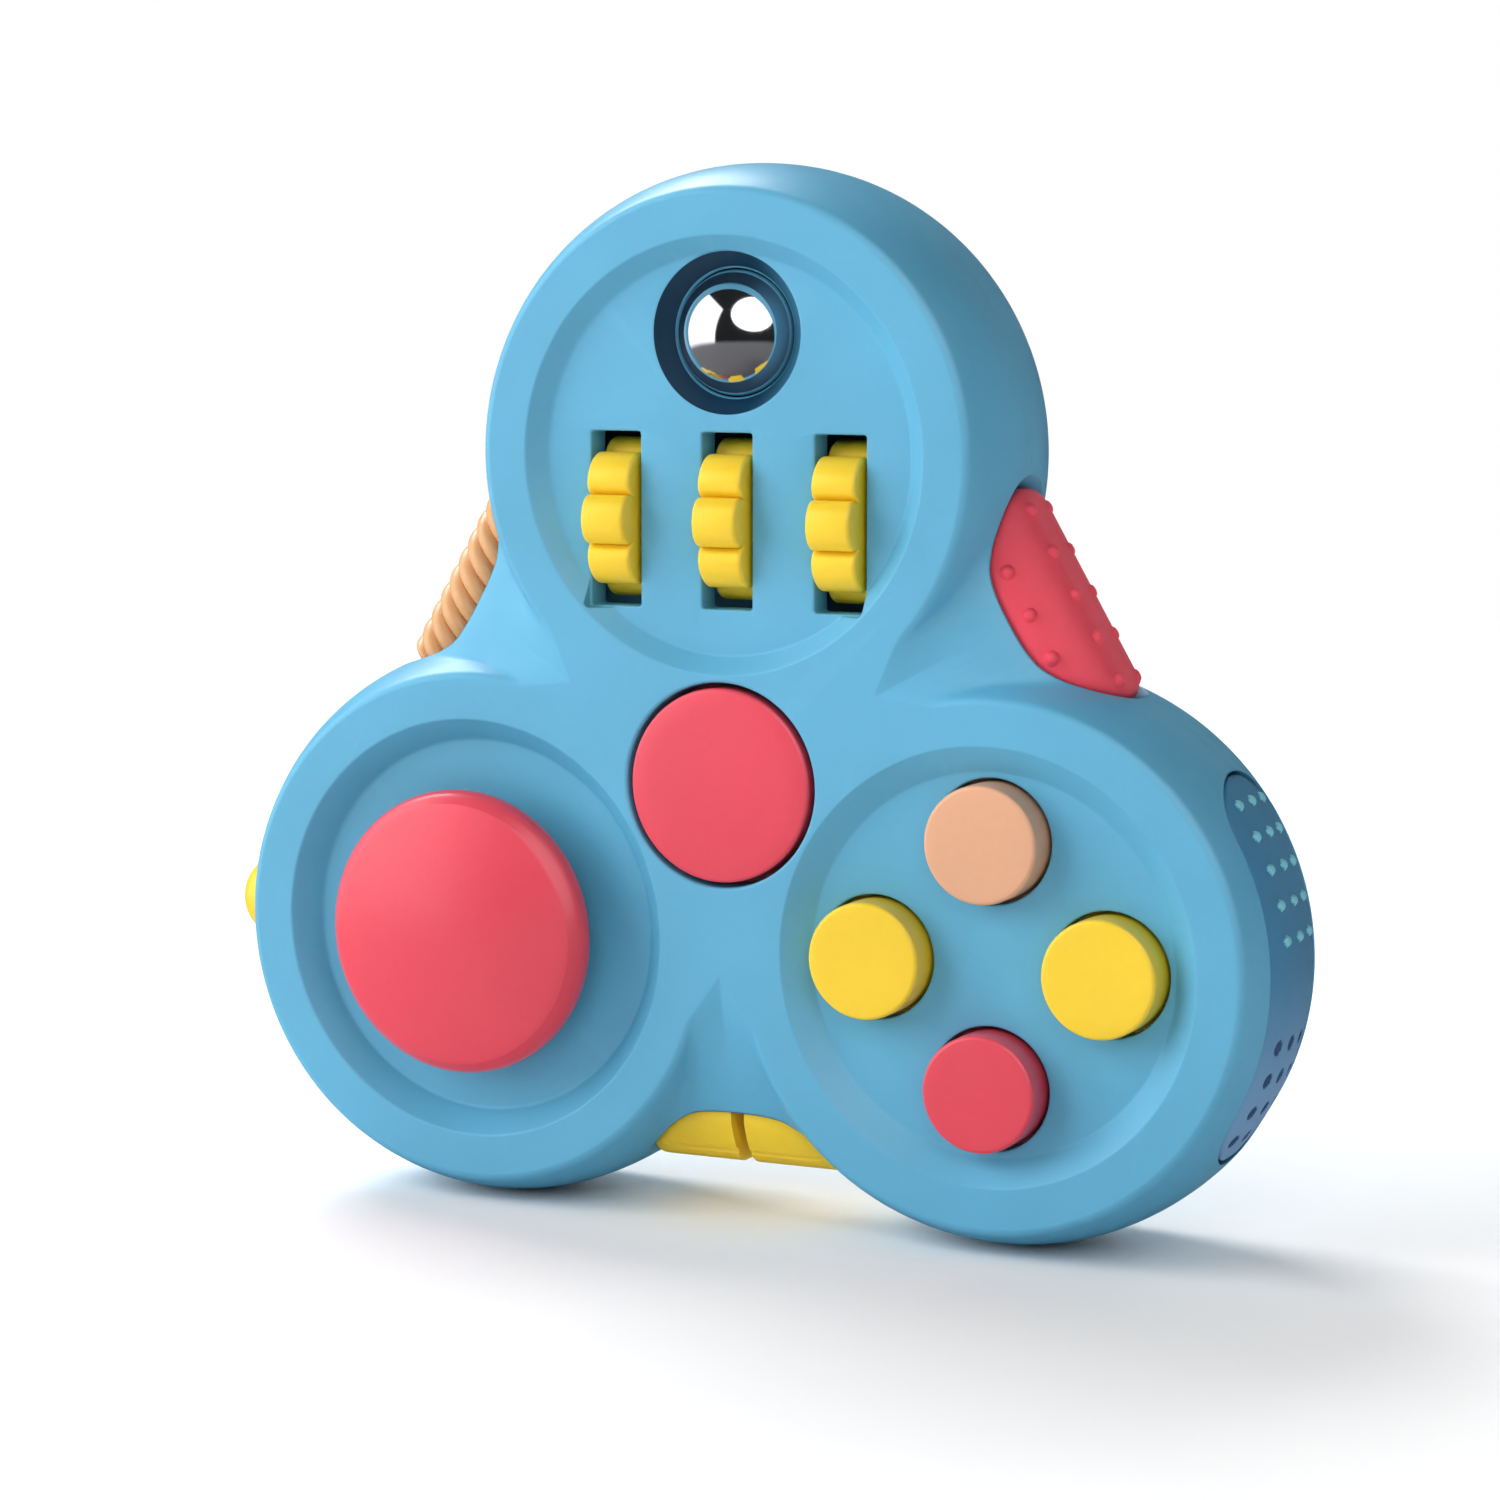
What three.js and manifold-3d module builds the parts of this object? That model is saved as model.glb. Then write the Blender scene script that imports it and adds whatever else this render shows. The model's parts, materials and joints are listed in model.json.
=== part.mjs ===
// Trefoil hand fidget pad: three round lobes around a centre button.
// Units are millimetres, +Z is up, the front face looks towards -Y.
// The origin is the trefoil's centre on the flat back face (y = 0).
// A "depth" is always measured from the front face towards the back: y = depth - THICKNESS.

import * as THREE from 'three';
import { mergeVertices } from 'three/addons/utils/BufferGeometryUtils.js';
import Module from 'manifold-3d';

const manifold = await Module();
manifold.setup();

const rad = (degrees) => degrees * Math.PI / 180;
// A point [x, z] at a radius and an angle from +X towards +Z.
const polar = (radius, degrees) => [radius * Math.cos(rad(degrees)), radius * Math.sin(rad(degrees))];

// ---------------------------------------------------------------- dimensions
// Body
const THICKNESS = 15.0;
const SPLIT = THICKNESS / 2;       // depth of the parting plane of the two shells
const SEAM = 0.05;                 // half the gap at the parting plane
const LOBE_OFFSET = 23.0;          // lobe centre from the trefoil centre
const LOBE_FACE_R = 18.45;         // lobe radius at the two faces, before the edge round
const LOBE_MID_R = 20.3;           // lobe radius at mid thickness
const BARREL_EXP = 2.4;            // how square the barrelled side is
const EDGE = 0.4;                  // edge round at the two faces
const WEB_FACE = 13.8;             // reach of the web between two lobes at the face
const WEB_MID = 25.8;              // and at mid thickness
const WEB_RISE = 2.8;              // how fast the web's surface runs outwards from the face
const WALL = 1.9;                  // side wall
const FRONT_INSIDE = 3.4;          // depth of the inside of the front plate
const BACK_INSIDE = 13.1;          // depth of the inside of the back plate
const OVERLAP = 0.4;               // how far inner features sink into a plate
const THROUGH = FRONT_INSIDE + 0.5;  // end depth of holes through the front plate

const LOBE_CENTRES = [90, 210, 330].map((angle) => polar(LOBE_OFFSET, angle));
const [TOP_LOBE, LEFT_LOBE, RIGHT_LOBE] = LOBE_CENTRES;
const [LEFT_X, LEFT_Z] = LEFT_LOBE;
const [RIGHT_X, RIGHT_Z] = RIGHT_LOBE;
const WEB_ANGLES = [30, 150, 270];   // right, left, bottom

// Recessed discs in the front face
const DISC_R = 15.12;
const DISCS = [
  { centre: TOP_LOBE, depth: 1.20, floorR: 14.0 },
  { centre: LEFT_LOBE, depth: 1.93, floorR: 13.6 },
  { centre: RIGHT_LOBE, depth: 1.38, floorR: 13.4 },
];

// Centre button and the four face buttons
const CENTRE = [0, 0];
const CENTRE_R = 6.85;
const CENTRE_HOLE_R = 7.24;
const BUTTON_OFFSET = 8.6;
const BUTTON_R = 4.1;
const BUTTON_FRONT = -0.95;          // depth of the button's face
const BUTTONS = [
  ['button_top', 'peach', 0, 1],
  ['button_left', 'yellow', -1, 0],
  ['button_right', 'yellow', 1, 0],
  ['button_bottom', 'red', 0, -1],
].map(([name, look, x, z]) => (
  { name, look, spot: [RIGHT_X + BUTTON_OFFSET * x, RIGHT_Z + BUTTON_OFFSET * z] }
));

// Running clearances, on the radius
const PIN_FIT = 0.06;                // pin in the shells
const BORE_FIT = 0.07;               // moving part on its pin, axle in the front shell
const COG_FIT = 0.08;                // cog on its axle

// Cog wheels
const COG_PITCH = 8.65;
const COG_XS = [-COG_PITCH, 0, COG_PITCH];
const COG_Z = 18.43;
const COG_DEPTH = 4.5;
const COG_TIP_R = 5.7;
const COG_ROOT_R = 4.35;
const COG_WIDTH = 3.3;
const COG_TEETH = 8;
const COG_SLOT_WIDTH = 3.9;
const COG_SLOT_HEIGHT = 12.35;
const AXLE_R = 1.0;
const AXLE_HALF = 13.1;
const AXLE_ROOM_HALF = 13.4;
const RIB_XS = [-12.4, -4.33, 4.33, 12.4];
const RIB_HALF = 0.7;

// Steel ball
const BALL_SPOT = [0, 31.5];
const BALL_R = 4.55;
const BALL_DEPTH = 3.95;

// Thumb cap
const CAP_R = 10.3;
const PIVOT_DEPTH = SPLIT;
const PIVOT_R = 0.9;

// Web openings, and what sits in them; "out" is the distance outwards from the trefoil centre
const OPENING = { halfLength: 8.6, halfDepth: 4.85, exponent: 2.6 };
const PAD_SHIFT = -0.15;             // the right opening and its pad, along the web
const INSERT_GAP = 0.28;             // between an opening and the pad or keys in it
const ROLLER_OUT = 25.3;
const ROLLER_R = 3.3;
const ROLLER_HALF = 7.1;
const ROLLER_PIN_R = 0.8;
const ROLLER_PIN_HALF = 10.0;
const KEY_PIN_ALONG = 6.6;
const KEY_PIN_OUT = 23.6;
const KEY_PIN_R = 0.6;

const SCREW_SPOTS = WEB_ANGLES.map((angle) => polar(10.95, angle));

// Grip strip on the right lobe
const STRIP_ANGLE = 41.5;            // half its span around the lobe, degrees
const STRIP_HALF = 4.8;              // half its width

// ---------------------------------------------------------------- helpers
const yAt = (depth) => depth - THICKNESS;
const around = (centre, half) => [centre - half, centre + half];
const translation = (x, y, z) => new THREE.Matrix4().makeTranslation(x, y, z);
const rotationX = (angle) => new THREE.Matrix4().makeRotationX(angle);
const rotationZ = (angle) => new THREE.Matrix4().makeRotationZ(angle);
const WORLD = new THREE.Matrix4();

// A closed geometry as a solid: vertices merged, collapsed triangles dropped, faces turned outwards.
const solid = (closed, place = WORLD) => {
  closed.applyMatrix4(place);
  closed.deleteAttribute('normal');
  closed.deleteAttribute('uv');
  const merged = mergeVertices(closed, 1e-4);
  const points = merged.attributes.position.array;
  const index = merged.index.array;
  const corners = [0, 1, 2].map(() => new THREE.Vector3());
  const kept = [];
  let volume = 0;
  for (let i = 0; i < index.length; i += 3) {
    const [a, b, c] = index.slice(i, i + 3);
    if (a === b || b === c || a === c) continue;
    kept.push(a, b, c);
    [a, b, c].forEach((vertex, k) => corners[k].fromArray(points, 3 * vertex));
    volume += corners[0].dot(corners[1].cross(corners[2]));
  }
  if (volume < 0) {
    for (let i = 0; i < kept.length; i += 3) [kept[i + 1], kept[i + 2]] = [kept[i + 2], kept[i + 1]];
  }
  return new manifold.Manifold(new manifold.Mesh({
    numProp: 3,
    vertProperties: new Float32Array(points),
    triVerts: new Uint32Array(kept),
  }));
};

// A body through a stack of rings with the same number of points; fans close the ends.
const loft = (rings, place) => {
  const count = rings[0].length;
  const points = rings.flat();
  const triangles = [];
  for (let k = 0; k + 1 < rings.length; k++) {
    for (let i = 0; i < count; i++) {
      const a = k * count + i;
      const b = k * count + (i + 1) % count;
      triangles.push(a, b, b + count, a, b + count, a + count);
    }
  }
  const fan = (k, flip) => {
    const middle = [0, 1, 2].map((axis) => rings[k].reduce((sum, p) => sum + p[axis] / count, 0));
    const hub = points.push(middle) - 1;
    for (let i = 0; i < count; i++) {
      const a = k * count + i;
      const b = k * count + (i + 1) % count;
      triangles.push(hub, ...(flip ? [b, a] : [a, b]));
    }
  };
  fan(0, true);
  fan(rings.length - 1, false);
  const geometry = new THREE.BufferGeometry();
  geometry.setAttribute('position', new THREE.Float32BufferAttribute(points.flat(), 3));
  geometry.setIndex(triangles);
  return solid(geometry, place);
};

// A body turned about the local Y axis: profile points are [radius, y].
// The profile starts and ends on the axis, or closes on itself.
const turned = (profile, segments, place) => solid(
  new THREE.LatheGeometry(profile.map(([r, y]) => new THREE.Vector2(r, y)), segments), place);
const cylinderProfile = (radius, from, to) => [[0, from], [radius, from], [radius, to], [0, to]];
// A plain rod about the local Y axis, centred on its place.
const rod = (radius, half, segments, place) => (
  turned(cylinderProfile(radius, -half, half), segments, place));

// A turned body on a face-normal axis through [x, z], profile in [radius, depth].
const onFace = ([x, z], profile, segments, frame = WORLD) => turned(
  profile.map(([r, depth]) => [r, yAt(depth)]), segments, frame.clone().multiply(translation(x, 0, z)));
const post = (spot, radius, [from, to], segments, frame) => (
  onFace(spot, cylinderProfile(radius, from, to), segments, frame));

// A box from its [low, high] ranges in x, depth and z.
const box = ([x0, x1], [depth0, depth1], [z0, z1], place) => {
  const geometry = new THREE.BoxGeometry(x1 - x0, depth1 - depth0, z1 - z0);
  geometry.translate((x0 + x1) / 2, yAt((depth0 + depth1) / 2), (z0 + z1) / 2);
  return solid(geometry, place);
};

// Local frame of a web: x along the web, y as in the world, z outwards.
const [RIGHT_WEB, LEFT_WEB, BOTTOM_WEB] = WEB_ANGLES.map((angle) => {
  const [cos, sin] = polar(1, angle);
  return new THREE.Matrix4().makeBasis(
    new THREE.Vector3(sin, 0, -cos), new THREE.Vector3(0, 1, 0), new THREE.Vector3(cos, 0, sin));
});
const WEBS = [RIGHT_WEB, LEFT_WEB, BOTTOM_WEB];

// Placements that lay a turned body's axis (local Y) along X, Z or -X of a frame.
const laid = (rotation) => (x, depth, z, frame = WORLD) => (
  frame.clone().multiply(translation(x, yAt(depth), z)).multiply(rotation));
const alongX = laid(rotationZ(-Math.PI / 2));
const alongZ = laid(rotationX(Math.PI / 2));
const alongMinusX = laid(rotationZ(Math.PI / 2));

const union = (bodies) => bodies.reduce((a, b) => a.add(b));

// ---------------------------------------------------------------- outer form
// Smooth minimum with a blend of width k.
const smoothMin = (a, b, k) => {
  const blend = Math.max(k - Math.abs(a - b), 0) / k;
  return Math.min(a, b) - blend * blend * k * 0.25;
};
const fromFace = (depth) => Math.min(depth, THICKNESS - depth);   // distance to the nearer face
const edgeRound = (depth) => {
  const gap = Math.max(EDGE - fromFace(depth), 0);
  return EDGE * (1 - Math.sqrt(1 - (gap / EDGE) ** 2));
};
const lobeRadius = (depth) => {
  const bulge = 1 - Math.abs(2 * depth / THICKNESS - 1) ** BARREL_EXP;
  return LOBE_FACE_R + (LOBE_MID_R - LOBE_FACE_R) * bulge - edgeRound(depth);
};
const ramp = (u) => WEB_RISE * u / (1 + (WEB_RISE * u) ** 4) ** 0.25;
const webReach = (depth) => {
  const rise = ramp(2 * fromFace(depth) / THICKNESS) / ramp(1);
  return WEB_FACE + (WEB_MID - WEB_FACE) * rise - edgeRound(depth);
};

// Negative inside the outline at this depth: three lobes blended with three webs.
const outlineField = (x, z, depth, inset) => {
  const blend = 0.2 + 2.2 * Math.min(fromFace(depth) / 4, 1);
  const vee = 1.35 * Math.max(0, 1 - fromFace(depth) / 1.6);   // the web starts in a V near the face
  let lobes = 1e3;
  for (const [lobeX, lobeZ] of LOBE_CENTRES) {
    const distance = Math.hypot(x - lobeX, z - lobeZ) - lobeRadius(depth) + inset;
    lobes = smoothMin(lobes, distance, blend);
  }
  let webs = 1e3;
  for (const angle of WEB_ANGLES) {
    const [cos, sin] = polar(1, angle);
    const out = x * cos + z * sin;
    const along = Math.abs(x * sin - z * cos);
    const surface = (out - webReach(depth) - vee * Math.min(along, 2.6)) / Math.hypot(1, vee);
    webs = Math.min(webs, Math.max(surface + inset, along - 16, -out));
  }
  return smoothMin(lobes, webs, blend);
};

// Outline stations: degrees to either side of each web direction.
const FINE = [0, 3, 6, 8, 10, 12, 14.5, 18, 22.5, 28, 34, 41, 48, 54.5];
const COARSE = [0, 6, 10, 14, 20, 29, 40, 50];
const outlineAngles = (offsets) => {
  const angles = WEB_ANGLES.flatMap((web) => (
    [...offsets.flatMap((offset) => [web + offset, web - offset]), web + 60]));
  return [...new Set(angles.map((angle) => (angle + 360) % 360))].sort((a, b) => a - b);
};
// Each outline point is found by bisection along its ray.
const outline = (depth, inset, angles) => angles.map((angle) => {
  const [cos, sin] = polar(1, angle);
  let low = 8;
  let high = 50;
  for (let i = 0; i < 34; i++) {
    const middle = (low + high) / 2;
    if (outlineField(middle * cos, middle * sin, depth, inset) < 0) low = middle;
    else high = middle;
  }
  return [low * cos, yAt(depth), low * sin];
});
const outlineStack = (depths, inset, offsets) => {
  const angles = outlineAngles(offsets);
  return loft(depths.map((depth) => outline(depth, inset, angles)));
};

const cavity = outlineStack([FRONT_INSIDE, 5.0, SPLIT, 10.0, BACK_INSIDE], WALL, COARSE);

// The right lobe's barrelled form, set in from its surface.
const barrel = (inset, depths, segments = 34) => onFace(RIGHT_LOBE, [
  [0, depths[0]],
  ...depths.map((depth) => [lobeRadius(depth) - inset, depth]),
  [0, depths.at(-1)],
], segments);
const fiveDepths = (from, to) => [0, 1, 2, 3, 4].map((i) => from + (to - from) * i / 4);

// The right lobe keeps a thicker side wall behind its grip strip.
const stripWall = box([RIGHT_X + 11.5, RIGHT_X + 22], [2.6, 12.4], around(RIGHT_Z, 15))
  .intersect(barrel(0.9, [2.6, 5, 10, 12.4], 40))
  .subtract(post(RIGHT_LOBE, 17.2, [0, THICKNESS], 32));

// ---------------------------------------------------------------- cutters shared by the shells
// Superellipse in a web's (along, depth) plane, centred on the origin.
const oval = (halfLength, halfDepth, count) => [...Array(count)].map((_, i) => {
  const angle = 2 * Math.PI * (i + 0.5) / count;
  const reach = (u, half) => Math.sign(u) * half * Math.abs(u) ** (2 / OPENING.exponent);
  return [reach(Math.cos(angle), halfLength), reach(Math.sin(angle), halfDepth)];
});
const webOpening = (frame, shift) => {
  const points = oval(OPENING.halfLength, OPENING.halfDepth, 28);
  return loft([20.9, 34].map((out) => (
    points.map(([along, across]) => [along + shift, across + yAt(SPLIT), out]))), frame);
};
const rollerPlace = alongX(0, SPLIT, ROLLER_OUT, LEFT_WEB);

// The grip strip's outline as [z from the lobe centre, depth], wrapped on the lobe's mid radius.
const stripOutline = (grow) => {
  const endArcPoints = 7;
  const halfWidth = STRIP_HALF + grow;
  const straight = LOBE_MID_R * rad(STRIP_ANGLE) + grow - halfWidth;
  const points = [];
  for (const side of [1, -1]) {
    for (let i = 0; i < endArcPoints; i++) {
      const angle = Math.PI * (i + 0.5) / endArcPoints - Math.PI / 2;
      points.push([
        side * (straight + halfWidth * Math.cos(angle)), side * halfWidth * Math.sin(angle),
      ]);
    }
    // Extra stations on the long sides, so that the band follows the curve.
    for (const part of [0.5, 0, -0.5]) points.push([side * straight * part, side * halfWidth]);
  }
  return points.map(([along, across]) => (
    [LOBE_MID_R * Math.sin(along / LOBE_MID_R), across + SPLIT]));
};
const stripPrism = (grow) => loft([9, 24].map((x) => (
  stripOutline(grow).map(([z, depth]) => [RIGHT_X + x, yAt(depth), RIGHT_Z + z]))));

// The side button points to -X from the left lobe's centre.
const sidePlace = alongMinusX(LEFT_X, SPLIT, LEFT_Z);

const sharedCutters = [
  union([webOpening(RIGHT_WEB, PAD_SHIFT), webOpening(LEFT_WEB, 0), webOpening(BOTTOM_WEB, 0)]),
  rod(ROLLER_R + 0.4, ROLLER_HALF + 0.35, 24, rollerPlace),
  rod(ROLLER_PIN_R + PIN_FIT, ROLLER_PIN_HALF + 0.2, 16, rollerPlace),
  turned(cylinderProfile(3.7, 12.6, 30), 20, sidePlace),
  stripPrism(0.14).subtract(barrel(1.35, fiveDepths(1.5, 13.5))),
];
const cutShared = (shell) => sharedCutters.reduce((body, cutter) => body.subtract(cutter), shell);

// ---------------------------------------------------------------- shells
const FRONT_SPAN = [FRONT_INSIDE - OVERLAP, SPLIT - SEAM];
const REAR_SPAN = [SPLIT + SEAM, BACK_INSIDE + OVERLAP];

// The hollow shell through the given outline depths.
const hollowShell = (depths) => {
  const outer = outlineStack(depths, 0, FINE);
  return outer.subtract(cavity).add(stripWall.intersect(outer));
};
// A shelf behind each web opening, and a wall at the inner end of the side spring.
const innerWalls = (span) => [
  ...WEBS.map((frame) => box([-6.8, 6.8], span, [18.7, 19.9], frame)),
  box([LEFT_X - 12.0, LEFT_X - 10.9], span, around(LEFT_Z, 4.2)),
];
const keyPosts = (radius, span, segments = 12) => [-KEY_PIN_ALONG, KEY_PIN_ALONG].map((along) => (
  post([along, KEY_PIN_OUT], radius, span, segments, BOTTOM_WEB)));
const screwPosts = (radius, span, segments) => (
  SCREW_SPOTS.map((spot) => post(spot, radius, span, segments)));

const frontCuts = [
  union(DISCS.map(({ centre, depth, floorR }) => onFace(centre, [
    [0, -1], [DISC_R + 0.35, -1], [DISC_R, 0.12],
    [floorR + 0.15, depth - 0.15], [floorR - 0.1, depth], [0, depth],
  ], 36))),
  onFace(CENTRE, [
    [0, -1], [CENTRE_HOLE_R + 0.25, -1], [CENTRE_HOLE_R + 0.25, 0],
    [CENTRE_HOLE_R, 0.25], [CENTRE_HOLE_R, THROUGH], [0, THROUGH],
  ], 36),
  union(BUTTONS.map(({ spot }) => post(spot, BUTTON_R + 0.28, [0, THROUGH], 24))),
  union(COG_XS.map((x) => box(
    around(x, COG_SLOT_WIDTH / 2), [-1, FRONT_INSIDE + 0.2], around(COG_Z, COG_SLOT_HEIGHT / 2)))),
  onFace(BALL_SPOT, [
    [0, -1], [5.6, -1], [5.6, 1.35], [4.48, 2.75], [4.48, 2.9], [4.75, 3.3],
    [4.75, THROUGH], [0, THROUGH],
  ], 32),
  post(LEFT_LOBE, 3.9, [0, THROUGH], 24),
];
let front = hollowShell([0, 0.12, EDGE, 1.2, 2.4, 4.3, SPLIT - SEAM]).add(union([
  ...screwPosts(2.3, FRONT_SPAN, 16),
  ...RIB_XS.map((x) => box(around(x, RIB_HALF), [FRONT_SPAN[0], 6.4], around(COG_Z, 2.8))),
  ...keyPosts(1.5, [2.2, 4.3]),
  ...innerWalls(FRONT_SPAN),
]));
front = frontCuts.reduce((body, cutter) => body.subtract(cutter), front);
// The axle lies in a groove that is open towards the back.
front = cutShared(front)
  .subtract(union(screwPosts(1.04, [4.4, THICKNESS], 12)))
  .subtract(union(keyPosts(KEY_PIN_R + PIN_FIT, [2.9, 9])))
  .subtract(rod(AXLE_R + BORE_FIT, AXLE_ROOM_HALF, 24, alongX(0, COG_DEPTH, COG_Z)))
  .subtract(box(around(0, AXLE_ROOM_HALF), [COG_DEPTH, 6.6], around(COG_Z, AXLE_R + BORE_FIT)));

let rear = hollowShell([
  SPLIT + SEAM, 10.7, 12.6, 13.8, THICKNESS - EDGE, THICKNESS - 0.12, THICKNESS,
]).add(union([
  ...screwPosts(2.4, REAR_SPAN, 16),
  ...keyPosts(1.5, [10.7, 12.8]),
  ...BUTTONS.map(({ spot }) => post(spot, 2.4, [9.0, REAR_SPAN[1]], 12)),
  post(CENTRE, 3.6, [9.7, REAR_SPAN[1]], 16),
  ...[-8.6, 8.6].map((x) => box(around(x, 3.0), [12.05, REAR_SPAN[1]], around(COG_Z, 1.2))),
  ...innerWalls(REAR_SPAN),
]));
const SCREW_HOLE = [
  [0, 7], [1.12, 7], [1.12, 12.6], [2.05, 12.6], [2.05, 14.8],
  [2.25, THICKNESS + 0.05], [2.25, THICKNESS + 1], [0, THICKNESS + 1],
];
rear = cutShared(rear)
  .subtract(union(SCREW_SPOTS.map((spot) => onFace(spot, SCREW_HOLE, 20))))
  .subtract(union(keyPosts(KEY_PIN_R + PIN_FIT, [6, 12.1])));

// ---------------------------------------------------------------- pieces
const group = new THREE.Group();
const LOOKS = {
  blue: { color: 0x5fb4dc, roughness: 0.45 },
  blueDark: { color: 0x2f6d92, roughness: 0.6 },
  red: { color: 0xec5366, roughness: 0.4 },
  yellow: { color: 0xfbd93a, roughness: 0.4 },
  peach: { color: 0xe8b391, roughness: 0.45 },
  steel: { color: 0xc9ccd0, roughness: 0.15, metalness: 1 },
  silicone: { color: 0xd8dde0, roughness: 0.7 },
  pad: { color: 0xd4475a, roughness: 0.6 },
  frame: { color: 0x35424c, roughness: 0.6 },
};
const put = (name, body, look) => {
  const { vertProperties, triVerts } = body.simplify(0.012).getMesh();
  const geometry = new THREE.BufferGeometry();
  geometry.setAttribute('position', new THREE.Float32BufferAttribute(vertProperties, 3));
  geometry.setIndex(Array.from(triVerts));
  geometry.computeVertexNormals();
  const mesh = new THREE.Mesh(geometry, new THREE.MeshStandardMaterial(LOOKS[look]));
  mesh.name = name;
  group.add(mesh);
};

put('front_shell', front, 'blue');
put('rear_shell', rear, 'blue');

// Screws, driven from the back, with a cross recess in the head.
SCREW_SPOTS.forEach(([x, z], i) => {
  const screw = onFace([x, z], [
    [0, 5.2], [0.5, 5.2], [0.93, 5.9], [0.93, 12.65],
    [1.8, 12.65], [1.8, 13.3], [1.35, 13.75], [0, 13.9],
  ], 16)
    .subtract(box(around(x, 0.95), [13.1, 14.3], around(z, 0.2)))
    .subtract(box(around(x, 0.2), [13.1, 14.3], around(z, 0.95)));
  put(`rear_screw_${i + 1}`, screw, 'steel');
});

// Centre button: cap, retaining flange and a short plunger, over a silicone dome.
const FLANGE_FRONT = FRONT_INSIDE + 0.1;
put('centre_button', onFace(CENTRE, [
  [0, -0.25], [CENTRE_R - 0.5, -0.2], [CENTRE_R - 0.15, -0.05], [CENTRE_R, 0.25],
  [CENTRE_R, FLANGE_FRONT], [8.3, FLANGE_FRONT], [8.3, 4.4], [2.2, 4.4], [2.2, 6.2], [0, 6.2],
], 32), 'red');
put('centre_dome', onFace(CENTRE, [
  [0, 6.3], [2.0, 6.3], [2.4, 6.6], [2.6, 7.2], [4.3, 9.0],
  [4.3, 9.6], [3.3, 9.6], [3.3, 9.0], [1.8, 7.6], [0, 7.6],
], 16), 'silicone');

// Four face buttons over one silicone dome sheet.
const BUTTON_PROFILE = [
  [0, BUTTON_FRONT], [BUTTON_R - 0.35, BUTTON_FRONT], [BUTTON_R - 0.1, BUTTON_FRONT + 0.12],
  [BUTTON_R, BUTTON_FRONT + 0.4], [BUTTON_R, FLANGE_FRONT], [4.95, FLANGE_FRONT],
  [4.95, 4.3], [1.6, 4.3], [1.6, 5.5], [0, 5.5],
];
BUTTONS.forEach(({ name, look, spot }) => put(name, onFace(spot, BUTTON_PROFILE, 22), look));
const DOME = [[0, 5.6], [1.6, 5.6], [1.9, 5.9], [2.0, 6.4], [3.3, 8.3], [0, 8.3]];
const DOME_HOLLOW = [[0, 6.7], [1.4, 6.7], [2.3, 8.3], [2.3, 8.91], [0, 8.91]];
const underButtons = (profile) => union(BUTTONS.map(({ spot }) => onFace(spot, profile, 12)));
put('dome_sheet', post(RIGHT_LOBE, 12.6, [8.2, 8.9], 32)
  .add(underButtons(DOME))
  .subtract(underButtons(DOME_HOLLOW)), 'silicone');

// Thumb cap on a gimbal: the stem turns about Z in the ring, the ring about X in the housing.
put('thumb_cap', onFace(LEFT_LOBE, [
  [0, -4.5], [2.6, -4.42], [5.2, -4.14], [7.4, -3.7], [9.0, -3.18], [9.75, -2.8],
  [10.15, -2.3], [CAP_R, -1.8], [CAP_R, -1.15], [10.1, -0.95], [9.0, -0.95], [8.6, -1.6],
  [5.2, -2.3], [3.6, -2.3], [3.6, 0.2], [2.3, 0.2], [2.3, -2.3], [0, -2.3],
], 32), 'red');
const ringPivot = alongX(LEFT_X, PIVOT_DEPTH, LEFT_Z);
const stemPivot = alongZ(LEFT_X, PIVOT_DEPTH, LEFT_Z);
put('thumb_stem', onFace(LEFT_LOBE, [
  [0, -2.2], [2.2, -2.2], [2.2, 0.4], [2.05, 0.6], [2.05, 9.2], [1.2, 9.2], [1.2, 10.2], [0, 10.2],
], 20).add(rod(PIVOT_R, 5.2, 20, stemPivot)), 'frame');
const [RING_FRONT, RING_BACK] = around(PIVOT_DEPTH, 1.5);
const ringPins = rod(PIVOT_R, 7.3, 20, ringPivot)
  .subtract(post(LEFT_LOBE, 4.4, [0, THICKNESS], 32));
put('gimbal_ring', onFace(LEFT_LOBE, [
  [3.3, RING_FRONT], [5.7, RING_FRONT], [5.7, RING_BACK], [3.3, RING_BACK], [3.3, RING_FRONT],
], 22)
  .add(ringPins)
  .subtract(rod(PIVOT_R + BORE_FIT, 6.2, 20, stemPivot)), 'frame');
put('thumb_housing', onFace(LEFT_LOBE, [
  [0, 3.5], [9.6, 3.5], [9.6, 4.6], [8.0, 4.6], [8.0, 12.95], [0, 12.95],
], 22)
  .subtract(onFace(LEFT_LOBE, [
    [0, 3.0], [5.0, 3.0], [5.0, 4.6], [6.3, 5.2], [6.3, 12.0], [0, 12.0],
  ], 22))
  .subtract(rod(PIVOT_R + BORE_FIT, 9, 20, ringPivot)), 'frame');

// Coil springs: a wire along a helix about the local Y axis, with closed end turns.
class Helix extends THREE.Curve {
  constructor(radius, start, end, turns) {
    super();
    Object.assign(this, { radius, start, end, turns });
  }

  getPoint(t, target = new THREE.Vector3()) {
    const angle = 2 * Math.PI * this.turns * t;
    const open = Math.min(Math.max((t - 0.1) / 0.8, 0), 1);
    return target.set(
      this.radius * Math.cos(angle),
      this.start + (this.end - this.start) * (0.94 * open + 0.06 * t),
      this.radius * Math.sin(angle));
  }
}
const WIRE_R = 0.3;
const coil = (radius, start, end, turns, place) => {
  const section = new THREE.Shape([0, 1, 2, 3, 4].map((k) => (
    new THREE.Vector2(...polar(WIRE_R, 72 * k)))));
  return solid(new THREE.ExtrudeGeometry(section, {
    steps: 10 * turns,
    bevelEnabled: false,
    curveSegments: 1,
    extrudePath: new Helix(radius, start + WIRE_R, end - WIRE_R, turns),
  }), place);
};
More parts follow.
